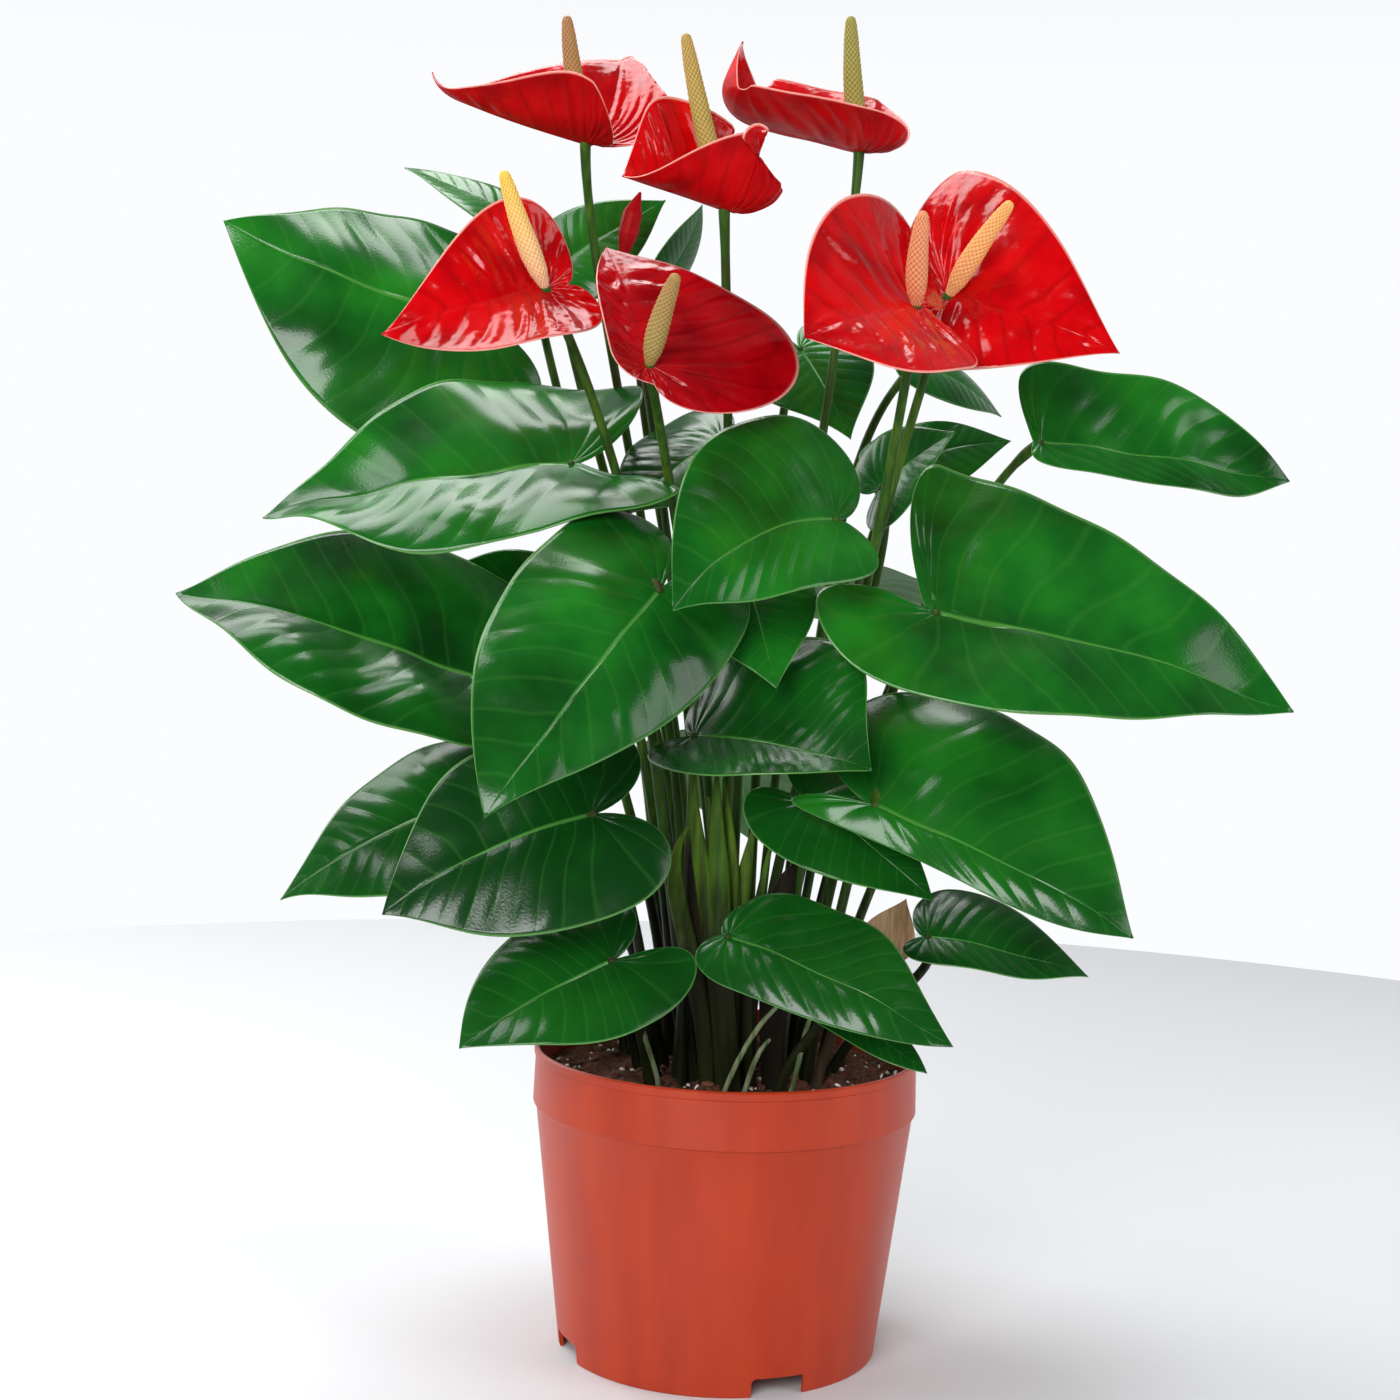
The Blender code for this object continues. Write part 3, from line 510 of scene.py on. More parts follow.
def bend_blade(kind, bends, flat, row, across):
    """The flat blade folded along its midrib, curled at its margins, and drooped along its length."""
    x, y = flat[..., 0], flat[..., 1]
    left = across > 0
    side = np.where(left, 1.0, -1.0)
    ay = y * side
    # the midrib, worked out in small steps
    steps = np.linspace(-0.6, 1.0, 161)
    ahead = np.clip(steps, 0, 1)
    turn = math.radians(bends["droop"]) * ahead
    bent = np.clip((ahead - bends["hook_from"]) / bends["hook_over"], 0, 1)
    turn += math.radians(bends["hook"]) * bent**1.5
    turn += math.radians(bends["turn_back"]) * np.clip(steps, -1, 0) / LOBE_BLADE
    size = np.diff(steps, prepend=steps[0])
    along, down = np.cumsum(np.cos(turn) * size), np.cumsum(-np.sin(turn) * size)
    along, down = along - np.interp(0, steps, along), down - np.interp(0, steps, down)
    # each half from the midrib out, in the same way
    reach = np.linspace(-0.3, 1.2, 301)
    step = reach[1] - reach[0]
    halves = []
    for sign in (1, -1):
        fold = math.radians(bends["fold"] + sign * bends["lean"])
        curl = math.radians(bends["curl"] + sign * bends["tilt"]) / HALF_BLADE
        angle = fold * (1 - np.exp(-np.abs(reach) / FOLD_ROUND[kind])) * np.sign(reach) - curl * reach
        out, up = np.cumsum(np.cos(angle)) * step, np.cumsum(np.sin(angle)) * step
        out, up = out - np.interp(0, reach, out), up - np.interp(0, reach, up)
        halves.append((np.interp(ay, reach, out), np.interp(ay, reach, up)))
    out, up = (np.where(left, *pair) for pair in zip(*halves))
    up = up + bends["wave"] * (ay / HALF_BLADE) ** 2 * np.sin(
        2 * math.pi * (bends["waves"] * row + np.where(left, 0, 0.35) + bends["phase"])
    )
    here = np.interp(x, steps, turn)
    bent_x = np.interp(x, steps, along) + up * np.sin(here)
    bent_y = side * out + math.tan(math.radians(bends["skew"])) * np.clip(x, 0, 1) ** 2 * 0.5
    bent_z = np.interp(x, steps, down) + up * np.cos(here)
    return np.stack([bent_x, bent_y, bent_z], -1)


def blade_frame(kind, bends, joint, tip, face):
    """The turn and the size that set a bent blade between its joint and its tip, its face to one side."""
    end = bend_blade(kind, bends, np.array([1.0, 0.0]), np.array(1.0), np.array(0.0))
    chord = np.array(tip, float) - np.array(joint, float)
    ex = unit(end)
    ey = unit(np.cross([0, 0, 1.0], ex))
    local = np.stack([ex, ey, np.cross(ex, ey)])
    x = unit(chord)
    z = np.array(face, float)
    z = unit(z - x * (z @ x))
    world = np.stack([x, np.cross(z, x), z], 1)
    return world @ local, np.linalg.norm(chord) / np.linalg.norm(end)


def note(obj, name, values):
    """Keeps three numbers at each point for the finish to read."""
    obj.data.attributes.new(name, "FLOAT_VECTOR", "POINT").data.foreach_set("vector", values.ravel())


def noted(obj, name):
    """The three numbers kept at each point."""
    return triples(obj.data.attributes[name].data, "vector")


def facing(obj):
    """The direction that the skin faces at each point."""
    return triples(obj.data.vertex_normals, "vector")


def blade(name, kind, joint, tip, face, form, seed):
    """A blade: a grid moved to its place, quilted between its veins, thickened, and ribbed below."""
    outline = OUTLINES[kind] | {key: form[key] for key in form if key not in BENDS}
    bends = BENDS | {key: form[key] for key in form if key in BENDS}
    turn, length = blade_frame(kind, bends, joint, tip, face)
    back_rows, front_rows, half_columns = FINE_GRID if length > LONG_BLADE else SMALL_GRID
    rows = back_rows + front_rows
    bpy.ops.mesh.primitive_grid_add(x_subdivisions=rows, y_subdivisions=2 * half_columns, size=2)
    obj = bpy.context.object
    plain = points_of(obj) * MM
    count = np.round((plain[:, 0] + 1) / 2 * rows)
    row = np.where(count <= back_rows, count / back_rows - 1, (count - back_rows) / front_rows)
    across = np.round(plain[:, 1] * half_columns) / half_columns
    flat = flat_blade(outline, form.get("width", 1), row, across)
    bent = bend_blade(kind, bends, flat, row, across)
    put(obj, np.array(joint, float) + bent * length @ turn.T)
    # noted: which vein, how far from the midrib to the margin, how far from the joint to the tip, and the
    # place on the flat blade
    ahead, behind = VEINS[kind]
    share = np.abs(across)
    laid = np.column_stack([flat * length, 0 * row])
    # no two veins are quite the same way apart
    uneven = VEIN_STRAY * np.clip(share / 0.4, 0, 1) * ripple(laid, STRAY_SIZE, seed + 9)
    note(obj, "veins", np.stack([np.where(row < 0, row * behind, row * ahead) + uneven, share, row], -1))
    note(obj, "flat", laid)
    turn_out(name)
    (vein, share, row), laid = noted(obj, "veins").T, noted(obj, "flat")
    up = facing(obj)
    if up.mean(0) @ turn[:, 2] < 0:
        bpy.ops.object.mode_set(mode="EDIT")
        bpy.ops.mesh.select_all(action="SELECT")
        bpy.ops.mesh.flip_normals()
        bpy.ops.object.mode_set(mode="OBJECT")
        up = facing(obj)
    size = min(1, length / FULL_LENGTH)
    fade = np.clip(share / 0.25, 0, 1) * np.clip((1 - share) / 0.2, 0, 1) * np.clip((1 - row) / 0.35, 0, 1)
    pillow = np.abs(np.sin(math.pi * vein)) ** 0.8 - 0.6
    rise = QUILT[kind] * size * fade * pillow
    # the midrib lies in a soft channel, and the whole blade is never quite even
    rise -= MIDRIB_SUNK * size * np.exp(-((share / 0.05) ** 2)) * np.clip((1 - row) / 0.3, 0, 1)
    calm = np.clip(np.hypot(*laid[:, :2].T) / CALM_RADIUS, 0, 1)
    rise += SWELL[kind] * size * calm * ripple(laid, SWELL_SIZE, seed)
    if kind == "spathe":
        crinkle = np.stack([vein * 8, share * 8, 0 * share], -1)
        rise += CRINKLE * fade * ripple(crinkle, CRINKLE_SIZE, seed + 50)
    place = points_of(obj) + up * rise[:, None]
    put(obj, place)
    up = facing(obj)
    skin = obj.modifiers.new("thickness", "SOLIDIFY")
    skin.thickness = BLADE_THICK * MM
    skin.offset = 0
    apply_all(obj)
    total = len(place)
    top_first = ((points_of(obj)[:total] - place) * up).sum() > 0
    # the margin is half as thick, and the midrib stands out below
    thick = BLADE_THICK / 2 * (1 - 0.5 * share**4)
    rib = MIDRIB_PROUD * size * np.exp(-((share / 0.045) ** 2)) * np.clip((1 - row) / 0.8, 0, 1)
    rib *= np.clip(row + 1, 0, 1)
    skins = [place + up * thick[:, None], place - up * (thick + rib)[:, None]]
    # noted: 1 on the upper side, and the leaf's own tone, which for leaf_17 is painted shade
    tone_and_shade = LEAF_TONES_AND_SHADE.get(name[:7], 0)
    sides = [(1.0, tone_and_shade, 0), (0.0, tone_and_shade, 0)]
    put(obj, np.concatenate(skins if top_first else skins[::-1]))
    note(obj, "side", np.repeat(sides if top_first else sides[::-1], total, 0))
    return obj, turn


def sleeve(name, path, radii, sides, swell=None):
    """A closed round rod along a path: a grid rolled up, with an optional relief (along, round)."""
    spans = len(path) - 1
    bpy.ops.mesh.primitive_grid_add(x_subdivisions=spans, y_subdivisions=sides, size=2)
    obj = bpy.context.object
    plain = points_of(obj) * MM
    ring = np.round((plain[:, 0] + 1) / 2 * spans).astype(int)
    bearing = np.round((plain[:, 1] + 1) / 2 * sides) / sides * 2 * math.pi
    ways = np.gradient(path, axis=0)
    ways /= np.linalg.norm(ways, axis=1)[:, None]
    aside = unit(np.cross(ways[0], [0.3, 1, 0.1]))
    frames = []
    for way in ways:
        aside = unit(aside - way * (aside @ way))
        frames.append((aside, np.cross(way, aside)))
    frames = np.array(frames)
    out = np.asarray(radii, float)[ring]
    if swell is not None:
        out = out + swell(ring / spans, bearing)
    spread = frames[ring, 0] * np.cos(bearing)[:, None] + frames[ring, 1] * np.sin(bearing)[:, None]
    put(obj, path[ring] + spread * out[:, None])
    note(obj, "veins", np.stack([bearing, 0 * bearing, ring / spans], -1))
    return turn_out(name)


def round_ends(path, radii):
    """Adds short rings that close a rod with rounded ends."""
    path, radii = np.array(path, float), np.array(radii, float)
    turns = np.radians([90, 60, 30])
    caps = []
    for end, near in ((0, 1), (-1, -2)):
        far = path[end] + unit(path[end] - path[near]) * radii[end] * np.sin(turns)[:, None]
        caps.append((far, np.maximum(radii[end] * np.cos(turns), 0)))
    (low, low_radii), (high, high_radii) = caps
    return np.concatenate([low, path, high[::-1]]), np.concatenate([low_radii, radii, high_radii[::-1]])


def foot_at(root):
    """The foot of a stalk, buried in the soil."""
    return np.array([*root, SOIL_TOP - ROOT_DEPTH], float)


def stalk_path(foot, end, arrive, bow, rise, spans):
    """The curve of a stalk from its foot in the soil to where it meets its blade."""
    end = np.array(end, float)
    lean = end - foot
    bow = np.array([*bow, 0.0])
    first = foot + np.array([lean[0] * 0.12, lean[1] * 0.12, np.linalg.norm(lean) * rise]) + bow
    second = end + np.array(arrive, float) + bow
    return bezier([foot, first, second, end], np.linspace(0, 1, spans + 1))


def leaf(
    name, root, joint, tip, face, arrive=None, bow=(0, 0), rise=0.45, finishes=None, slot="leaf_green", **form
):
    """One leaf: a blade joined with the stalk that carries it."""
    obj, turn = blade(name + "_fine", "leaf", joint, tip, face, form, seed=sum(map(ord, name)))
    foot = foot_at(root)
    if arrive is None:
        arrive = unit(turn @ np.array([-0.5, 0, -0.8])) * np.linalg.norm(np.array(joint) - foot) * 0.16
    path = stalk_path(foot, joint, arrive, bow, rise, STALK_SPANS)
    radii = np.linspace(*STALK_RADII, len(path))
    # the knee: the stalk swells just under its blade, then narrows into it
    left = np.linalg.norm(path - path[-1], axis=1)
    radii += (KNEE_RADIUS - STALK_RADII[1]) * np.exp(-(((left - KNEE_LENGTH / 2) / (KNEE_LENGTH / 2)) ** 4))
    radii[-1] *= 0.75
    # a sheathing foot, a little wider than the stalk
    radii += FOOT_FLARE * np.exp(-np.arange(len(path)) / 3)
    stalk = sleeve(name + "_stalk", *round_ends(path, radii), STALK_SIDES)
    for piece, finish in zip((obj, stalk), finishes or (leaf_skin, stalk_skin)):
        piece.data.materials.append(finish)
    join([obj, stalk])
    dress(obj, slot, name)


def blade_map(finish):
    """What a blade's finish reads: its place, its noted veins and side, and how far off the next vein is."""
    at = add(finish, "TexCoord").outputs["Object"]
    kept = [add(finish, "Attribute", attribute_name=name).outputs["Vector"] for name in ("veins", "side")]
    vein, side = (add(finish, "SeparateXYZ", {0: numbers}).outputs for numbers in kept)
    between = add(finish, "Math", {0: vein["X"], 1: 0.5}, operation="PINGPONG").outputs[0]
    return at, vein, side, between


def streaked(name, stops, width, roughness, strength, depth, rotted, ior=1.36, blotch=None):
    """Dull plant skin with long streaks; from one height down to another it turns a near-black brown, old
    sheath remains deepened by painted shade of the crown.
    """
    skin, shader = new_finish(name, IOR=ior, Specular_IOR_Level=0.2)
    at = add(skin, "TexCoord").outputs["Object"]
    flow = add(skin, "Mapping", {"Vector": at, "Scale": (1, 1, 0.08)})
    streaks = add(
        skin, "TexNoise", {"Vector": flow.outputs[0], "Scale": scale_of(width), "Detail": 3}
    ).outputs[0]
    shade = streaks
    if blotch:
        patch = add(skin, "TexNoise", {"Vector": at, "Scale": scale_of(blotch), "Detail": 2})
        both = add(skin, "Math", {0: streaks, 1: patch.outputs[0]}, operation="ADD")
        shade = add(skin, "Math", {0: both.outputs[0], 1: 0.5}, operation="MULTIPLY").outputs[0]
    paint = add(skin, "ValToRGB", {"Fac": shade}, stops=stops)
    # painted shade: from the heights in rotted down, the skin darkens to the foot brown, old sheath remains
    # and the shade deep in the crown together
    height = add(skin, "SeparateXYZ", {0: at}).outputs["Z"]
    frayed = add(skin, "Math", {0: streaks, 1: FOOT_FRAY * MM, 2: height}, operation="MULTIPLY_ADD")
    low, high = ((level + FOOT_FRAY / 2) * MM for level in rotted)
    darker_low = add(
        skin, "MapRange",
        {"Value": frayed.outputs[0], "From Min": low, "From Max": high, "To Min": 0.9, "To Max": 0},
    )
    darkened_low = add(
        skin, "Mix", {0: darker_low.outputs[0], 6: paint.outputs[0], 7: linear(FOOT_BROWN_AND_SHADE)}, data_type="RGBA"
    )
    rough = add(skin, "MapRange", {"Value": streaks, "To Min": roughness[0], "To Max": roughness[1]})
    relief = add(skin, "Bump", {"Height": streaks, "Strength": strength, "Distance": depth * MM})
    wear(skin, shader, darkened_low.outputs[2], rough.outputs[0], relief.outputs[0])
    return skin


# the waxy skin of a leaf: deep green, paler on its veins and margin, dull and light below
leaf_skin, leaf_shader = new_finish("anthurium_leaf_waxy", IOR=1.4)
at, vein, side, between = blade_map(leaf_skin)
side_vein = add(
    leaf_skin, "MapRange",
    {"Value": between, "From Min": 0.01, "From Max": 0.09, "To Min": 0.1, "To Max": 0},
)
midrib = add(
    leaf_skin, "MapRange",
    {"Value": vein["Y"], "From Min": 0.008, "From Max": 0.026, "To Min": 0.7, "To Max": 0},
)
line = add(leaf_skin, "Math", {0: side_vein.outputs[0], 1: midrib.outputs[0]}, operation="MAXIMUM").outputs[0]
rim = add(leaf_skin, "MapRange", {"Value": vein["Y"], "From Min": 0.975, "From Max": 0.995})
cloud = add(leaf_skin, "TexNoise", {"Vector": at, "Scale": scale_of(45.5), "Detail": 4})
fresher = add(leaf_skin, "Math", {0: cloud.outputs[0], 1: side["Y"]}, operation="ADD")
green = add(
    leaf_skin, "ValToRGB", {"Fac": fresher.outputs[0]},
    stops=[(0.3, LEAF_DEEP), (0.52, LEAF_GREEN), (0.8, LEAF_FRESH)],
)
# painted shade: the leaves that hang lower, from 340 mm down to 200 mm and below, are darkened towards
# LEAF_DEEP, for the shade that the leaves above cast on them
height = add(leaf_skin, "SeparateXYZ", {0: at}).outputs["Z"]
darker_low = add(
    leaf_skin, "MapRange",
    {"Value": height, "From Min": 200 * MM, "From Max": 340 * MM, "To Min": 0.6, "To Max": 0},
)
darkened_low = add(
    leaf_skin, "Mix", {0: darker_low.outputs[0], 6: green.outputs[0], 7: linear(LEAF_DEEP)}, data_type="RGBA"
)
both_sides = add(
    leaf_skin, "Mix", {0: side["X"], 6: linear(LEAF_UNDER), 7: darkened_low.outputs[2]}, data_type="RGBA"
)
veined = add(leaf_skin, "Mix", {0: line, 6: both_sides.outputs[2], 7: linear(LEAF_VEIN)}, data_type="RGBA")
edged = add(
    leaf_skin, "Mix", {0: rim.outputs[0], 6: veined.outputs[2], 7: linear(LEAF_MARGIN)}, data_type="RGBA"
)
rough = add(leaf_skin, "MapRange", {"Value": side["X"], "To Min": 0.5, "To Max": 0.2})
# the net of fine veins, 2 mm across
net = add(leaf_skin, "TexVoronoi", {"Vector": at, "Scale": scale_of(2)}, feature="DISTANCE_TO_EDGE")
relief = add(leaf_skin, "Bump", {"Height": net.outputs[0], "Strength": 0.12, "Distance": 0.4 * MM})
groove = add(
    leaf_skin, "Bump",
    {"Height": line, "Strength": 0.5, "Distance": 0.6 * MM, "Normal": relief.outputs[0]}, invert=True,
)
wear(leaf_skin, leaf_shader, edged.outputs[2], rough.outputs[0], groove.outputs[0])
# the stalk: the same tissue without wax, olive where it is old, streaked along its length
stalk_skin = streaked(
    "anthurium_stalk", [(0.38, STALK_OLIVE), (0.5, STALK_GREEN), (0.64, STALK_PALE)], width=3.33,
    roughness=(0.35, 0.5), strength=0.25, depth=0.4, rotted=(180, 235), ior=1.42, blotch=71.4,
)

# Root is where a stalk stands, joint and tip are the ends of a midrib, face is where its upper side looks,
# arrive leads from the joint back along the stalk, bow bends the stalk aside, and rise is the share of it
# that stands nearly upright. Leaves 1 to 26 stand where the photo shows them, and 27 to 31 fill the side
# that it does not show.
leaf(
    "leaf_01", root=(-14, 17), joint=(-123, 46, 453), tip=(-238, 36, 493), face=(-0.25, -0.85, 0.45),
    bow=(12, 22), width=1.15, droop=15, fold=-10, lean=12, curl=15, skew=-20, narrow_l=0.36, narrow_r=0.2,
    shoulder=0.6, half_l=0.5,
)
leaf(
    "leaf_02", root=(-17, 1), joint=(-76, -15, 389), tip=(-204, -40, 363), face=(-0.1, -0.62, 0.78),
    droop=12, fold=24, lean=6, curl=35, tilt=15, turn_back=-14, wave=0.1, waves=0.6, phase=0.51,
    narrow_r=0.13, crown_r=0, shoulder_r=0.4, half_r=0.52, crown_l=0.25, shoulder_l=0.7, narrow_l=0.22,
    half_l=0.4, open_l=0.45, open_r=0.16,
)
leaf(
    "leaf_03", root=(-27, 4), joint=(-115, 5, 294), tip=(-245, -15, 329), face=(-0.1, -0.62, 0.75),
    width=0.95, droop=15, fold=24, lean=6, curl=35, tilt=10, crown=0.25, shoulder=0.62, narrow=0.22,
    half_l=0.42, narrow_l=0.28, half_r=0.52, back_l=-0.3,
)
leaf(
    "leaf_04", root=(-14, -20), joint=(-35, -80, 338), tip=(-97, -150, 252), face=(0, -0.9, 0.35),
    arrive=(-10, 30, 26), bow=(-10, 6), width=0.92, fold=-5, lean=-6, curl=15, turn_back=15, narrow=0.2,
    half_l=0.34, narrow_l=0.11, half_r=0.44, narrow_r=0.26,
)
leaf(
    "leaf_05", root=(-24, 26), joint=(-85, 56, 322), tip=(-158, 46, 327), face=(-0.1, -0.9, 0.35),
    width=0.85, droop=20,
)
leaf(
    "leaf_06", root=(-3, 15), joint=(-12, 30, 403), tip=(-58, -4, 365), face=(-0.3, -0.7, 0.6), width=1.1,
    droop=20,
)
leaf(
    "leaf_07", root=(8, 30), joint=(23, 50, 446), tip=(46, 20, 405), face=(0.1, -0.8, 0.5), width=1.2,
    droop=20,
)
leaf(
    "leaf_08", root=(7, -22), joint=(36, -65, 369), tip=(-29, -115, 331), face=(0, -0.8, 0.6),
    arrive=(16, 34, -30), bow=(2, 12), width=1.05, droop=35, lean=-22, curl=10, skew=35, half_r=0.56,
    crown_r=0.2, shoulder_r=0.7, narrow_r=0.42, half_l=0.34, crown_l=0.15, shoulder_l=0.6, narrow_l=0.2,
    back_l=-0.25, open_l=0.15, back_r=-0.3,
)
leaf(
    "leaf_09", root=(19, 9), joint=(60, 14, 384), tip=(90, -4, 409), face=(-0.3, -0.75, 0.6), width=1.2,
    droop=20, fold=20,
)
leaf("leaf_10", root=(20, 19), joint=(70, 40, 395), tip=(121, 50, 408), face=(0.1, -0.7, 0.7), width=0.9)
leaf(
    "leaf_11", root=(28, 10), joint=(129, 10, 406), tip=(244, 30, 393), face=(0.2, -0.8, 0.55), width=0.9,
    droop=10, fold=15, back_l=-0.12, open_l=0.3, half_l=0.4, half_r=0.16, crown_r=0.3, shoulder_r=0.7,
    back_r=-0.06, open_r=0.1, narrow_l=0.3, shoulder_l=0.7,
)
leaf(
    "leaf_12", root=(31, -4), joint=(80, -55, 332), tip=(226, -72, 297), face=(0.1, -0.75, 0.65),
    bow=(2, 9), width=0.92, droop=20, fold=12, curl=15, lean=5, turn_back=-25, back_l=-0.2, open_l=0.3,
    crown_l=-0.1, shoulder_l=0.12, half_l=0.53, narrow_l=0.3, open_r=-0.14, back_r=-0.46, half_r=0.33,
    narrow_r=0.12,
)
leaf(
    "leaf_13", root=(-22, 40), joint=(-105, 100, 499), tip=(-167, 110, 530), face=(-0.2, -0.3, 0.9),
    width=0.7,
)
leaf(
    "leaf_14", root=(-12, 42), joint=(-88, 58, 480), tip=(-41, 74, 513), face=(0.1, -0.7, 0.6), bow=(6, 12),
    width=0.9,
)
leaf(
    "leaf_15", root=(0, -16), joint=(2, -45, 340), tip=(14, -75, 299), face=(0, -0.9, 0.4), bow=(0, 13),
    width=1.1,
)
leaf(
    "leaf_16", root=(-20, -28), joint=(-19, -43, 276), tip=(53, -90, 269), face=(0.05, -0.75, 0.65),
    width=1.1, fold=20, curl=10, crown_l=0.35, shoulder_l=0.85, narrow_l=0.4, half_l=0.57, back_l=-0.2,
    half_r=0.3, back_r=-0.25, crown_r=0.3,
)
leaf(
    "leaf_17", root=(-31, -22), joint=(-60, -74, 245), tip=(-142, -94, 204), face=(-0.1, -0.9, 0.45),
    width=1.05, droop=15, skew=20, narrow_r=0.36, narrow_l=0.2, shoulder=0.6, half_r=0.5,
)
leaf(
    "leaf_18", root=(-37, -2), joint=(-116, -10, 241), tip=(-196, -20, 196), face=(-0.2, -0.75, 0.65),
    width=0.95, skew=10, narrow=0.13,
)
leaf(
    "leaf_19", root=(-32, -40), joint=(-50, -70, 184), tip=(-109, -100, 152), face=(-0.1, -0.75, 0.65),
    turn_back=-25, narrow_r=0.32, half_r=0.48, back_l=-0.55,
)
leaf(
    "leaf_20", root=(4, -44), joint=(-2, -78, 197), tip=(88, -115, 163), face=(0.1, -0.75, 0.65), width=0.9,
    fold=-5, lean=10, half_r=0.22, back_r=-0.14, half_l=0.36, back_l=-0.1, crown_l=0.3, shoulder_l=0.65,
)
leaf(
    "leaf_21", root=(34, -14), joint=(56, -75, 253), tip=(158, -110, 208), face=(0.2, -0.8, 0.55),
    arrive=(4, 44, 42), bow=(6, 8), droop=20, fold=-5, lean=20, half_l=0.6, narrow_l=0.24, crown_l=0.2,
    shoulder_l=0.6, half_r=0.12,
)
leaf(
    "leaf_22", root=(22, -32), joint=(30, -44, 250), tip=(82, -72, 214), face=(0.1, -0.8, 0.6),
    arrive=(-2, 16, 10), bow=(2, -4), width=0.9, turn_back=-30, half_l=0.33,
)
leaf(
    "leaf_23", root=(42, -10), joint=(83, -44, 194), tip=(151, -46, 179), face=(0.1, -0.6, 0.8),
    arrive=(4, 14, -22), bow=(8, 4), width=0.95, half_l=0.5, half_r=0.24, back_r=-0.2, back_l=-0.16,
)
leaf("leaf_24", root=(20, -46), joint=(43, -66, 166), tip=(80, -95, 147), face=(0.1, -0.8, 0.5), width=0.4)
leaf(
    "leaf_25", root=(-3, 40), joint=(-38, 62, 480), tip=(-24, 70, 512), face=(0.9, -0.3, 0.3), bow=(8, 2),
    width=0.8,
)
leaf("leaf_26", root=(25, 37), joint=(80, 66, 442), tip=(120, 84, 420), face=(0.3, -0.5, 0.8))
leaf("leaf_27", root=(22, 44), joint=(50, 92, 340), tip=(102, 160, 298), face=(0.3, 0.65, 0.7))
leaf(
    "leaf_28", root=(-28, 50), joint=(-60, 112, 314), tip=(-106, 170, 266), face=(-0.3, 0.65, 0.7),
    width=0.9,
)
leaf("leaf_29", root=(0, 54), joint=(-2, 92, 262), tip=(12, 160, 205), face=(0, 0.7, 0.7), width=1.05)
leaf("leaf_30", root=(-44, 24), joint=(-92, 62, 222), tip=(-150, 112, 172), face=(-0.45, 0.55, 0.7))
leaf("leaf_31", root=(44, 24), joint=(84, 62, 236), tip=(150, 112, 190), face=(0.45, 0.55, 0.7))

# The blooms: a spathe, the waxy red leaf that a florist calls the flower, its blistered skin edged with a
# thin pale line; on it stands the spadix, a spike set all round with tiny florets; a stem carries both.
SPADIX_RADII = (2.0, 3.6, 4.2, 4.3, 4.1, 3.8, 3.4, 3.0, 2.2)
SPADIX_RING = 0.4
SPADIX_SIDES = 66
SPADIX_BOW = 0.8
SPADIX_LIFT = 1.6
SPADIX_TIP = 2
STEM_RADIUS = 2.0
STEM_SPANS = 60
STEM_SIDES = 16
STEM_DROP = 0.8
FLORET_RELIEF = 0.3
# florets are 2.4 mm apart: eleven stand round the spike
FLORETS_ROUND = 11
FLORET_STEP = 2.4
SPATHE_RED = "#BE0006"
SPATHE_DEEP = "#9A0005"
SPATHE_FRESH = "#CE060C"
SPATHE_RIM = "#E8968A"
DARK_RED = "#9C040D"
DARK_DEEP = "#7E0009"
DARK_FRESH = "#B00A14"


def spathe_finish(name, deep, red, light):
    """Waxy spathe skin in three reds: nearly as glossy as lacquer, deeper on the veins, a pale hard rim."""
    skin, shader = new_finish(name, IOR=1.38)
    at, vein, side, between = blade_map(skin)
    line = add(
        skin, "MapRange", {"Value": between, "From Min": 0, "From Max": 0.14, "To Min": 0.6, "To Max": 0}
    )
    rim = add(skin, "MapRange", {"Value": vein["Y"], "From Min": 0.972, "From Max": 0.99})
    cloud = add(skin, "TexNoise", {"Vector": at, "Scale": scale_of(22.2), "Detail": 3}).outputs[0]
    paint = add(skin, "ValToRGB", {"Fac": cloud}, stops=[(0.3, deep), (0.5, red), (0.75, light)])
    veined = add(skin, "Mix", {0: line.outputs[0], 6: paint.outputs[0], 7: linear(deep)}, data_type="RGBA")
    edged = add(
        skin, "Mix", {0: rim.outputs[0], 6: veined.outputs[2], 7: linear(SPATHE_RIM)}, data_type="RGBA"
    )
    # the blisters of the skin, 3 mm across
    blister = add(skin, "TexVoronoi", {"Vector": at, "Scale": scale_of(3.03)}, feature="SMOOTH_F1")
    relief = add(
        skin, "Bump", {"Height": blister.outputs["Distance"], "Strength": 0.3, "Distance": 0.6 * MM},
        invert=True,
    )
    # the underside has hardly any wax
    waxed = add(skin, "MapRange", {"Value": cloud, "To Min": 0.1, "To Max": 0.22})
    rough = add(skin, "Mix", {0: side["X"], 2: 0.5, 3: waxed.outputs[0]})
    wax = add(skin, "MapRange", {"Value": side["X"], "To Min": 0.15, "To Max": 0.5})
    wear(skin, shader, edged.outputs[2], rough.outputs[0], relief.outputs[0])
    skin.node_tree.links.new(wax.outputs[0], shader.inputs["Specular IOR Level"])
    return skin


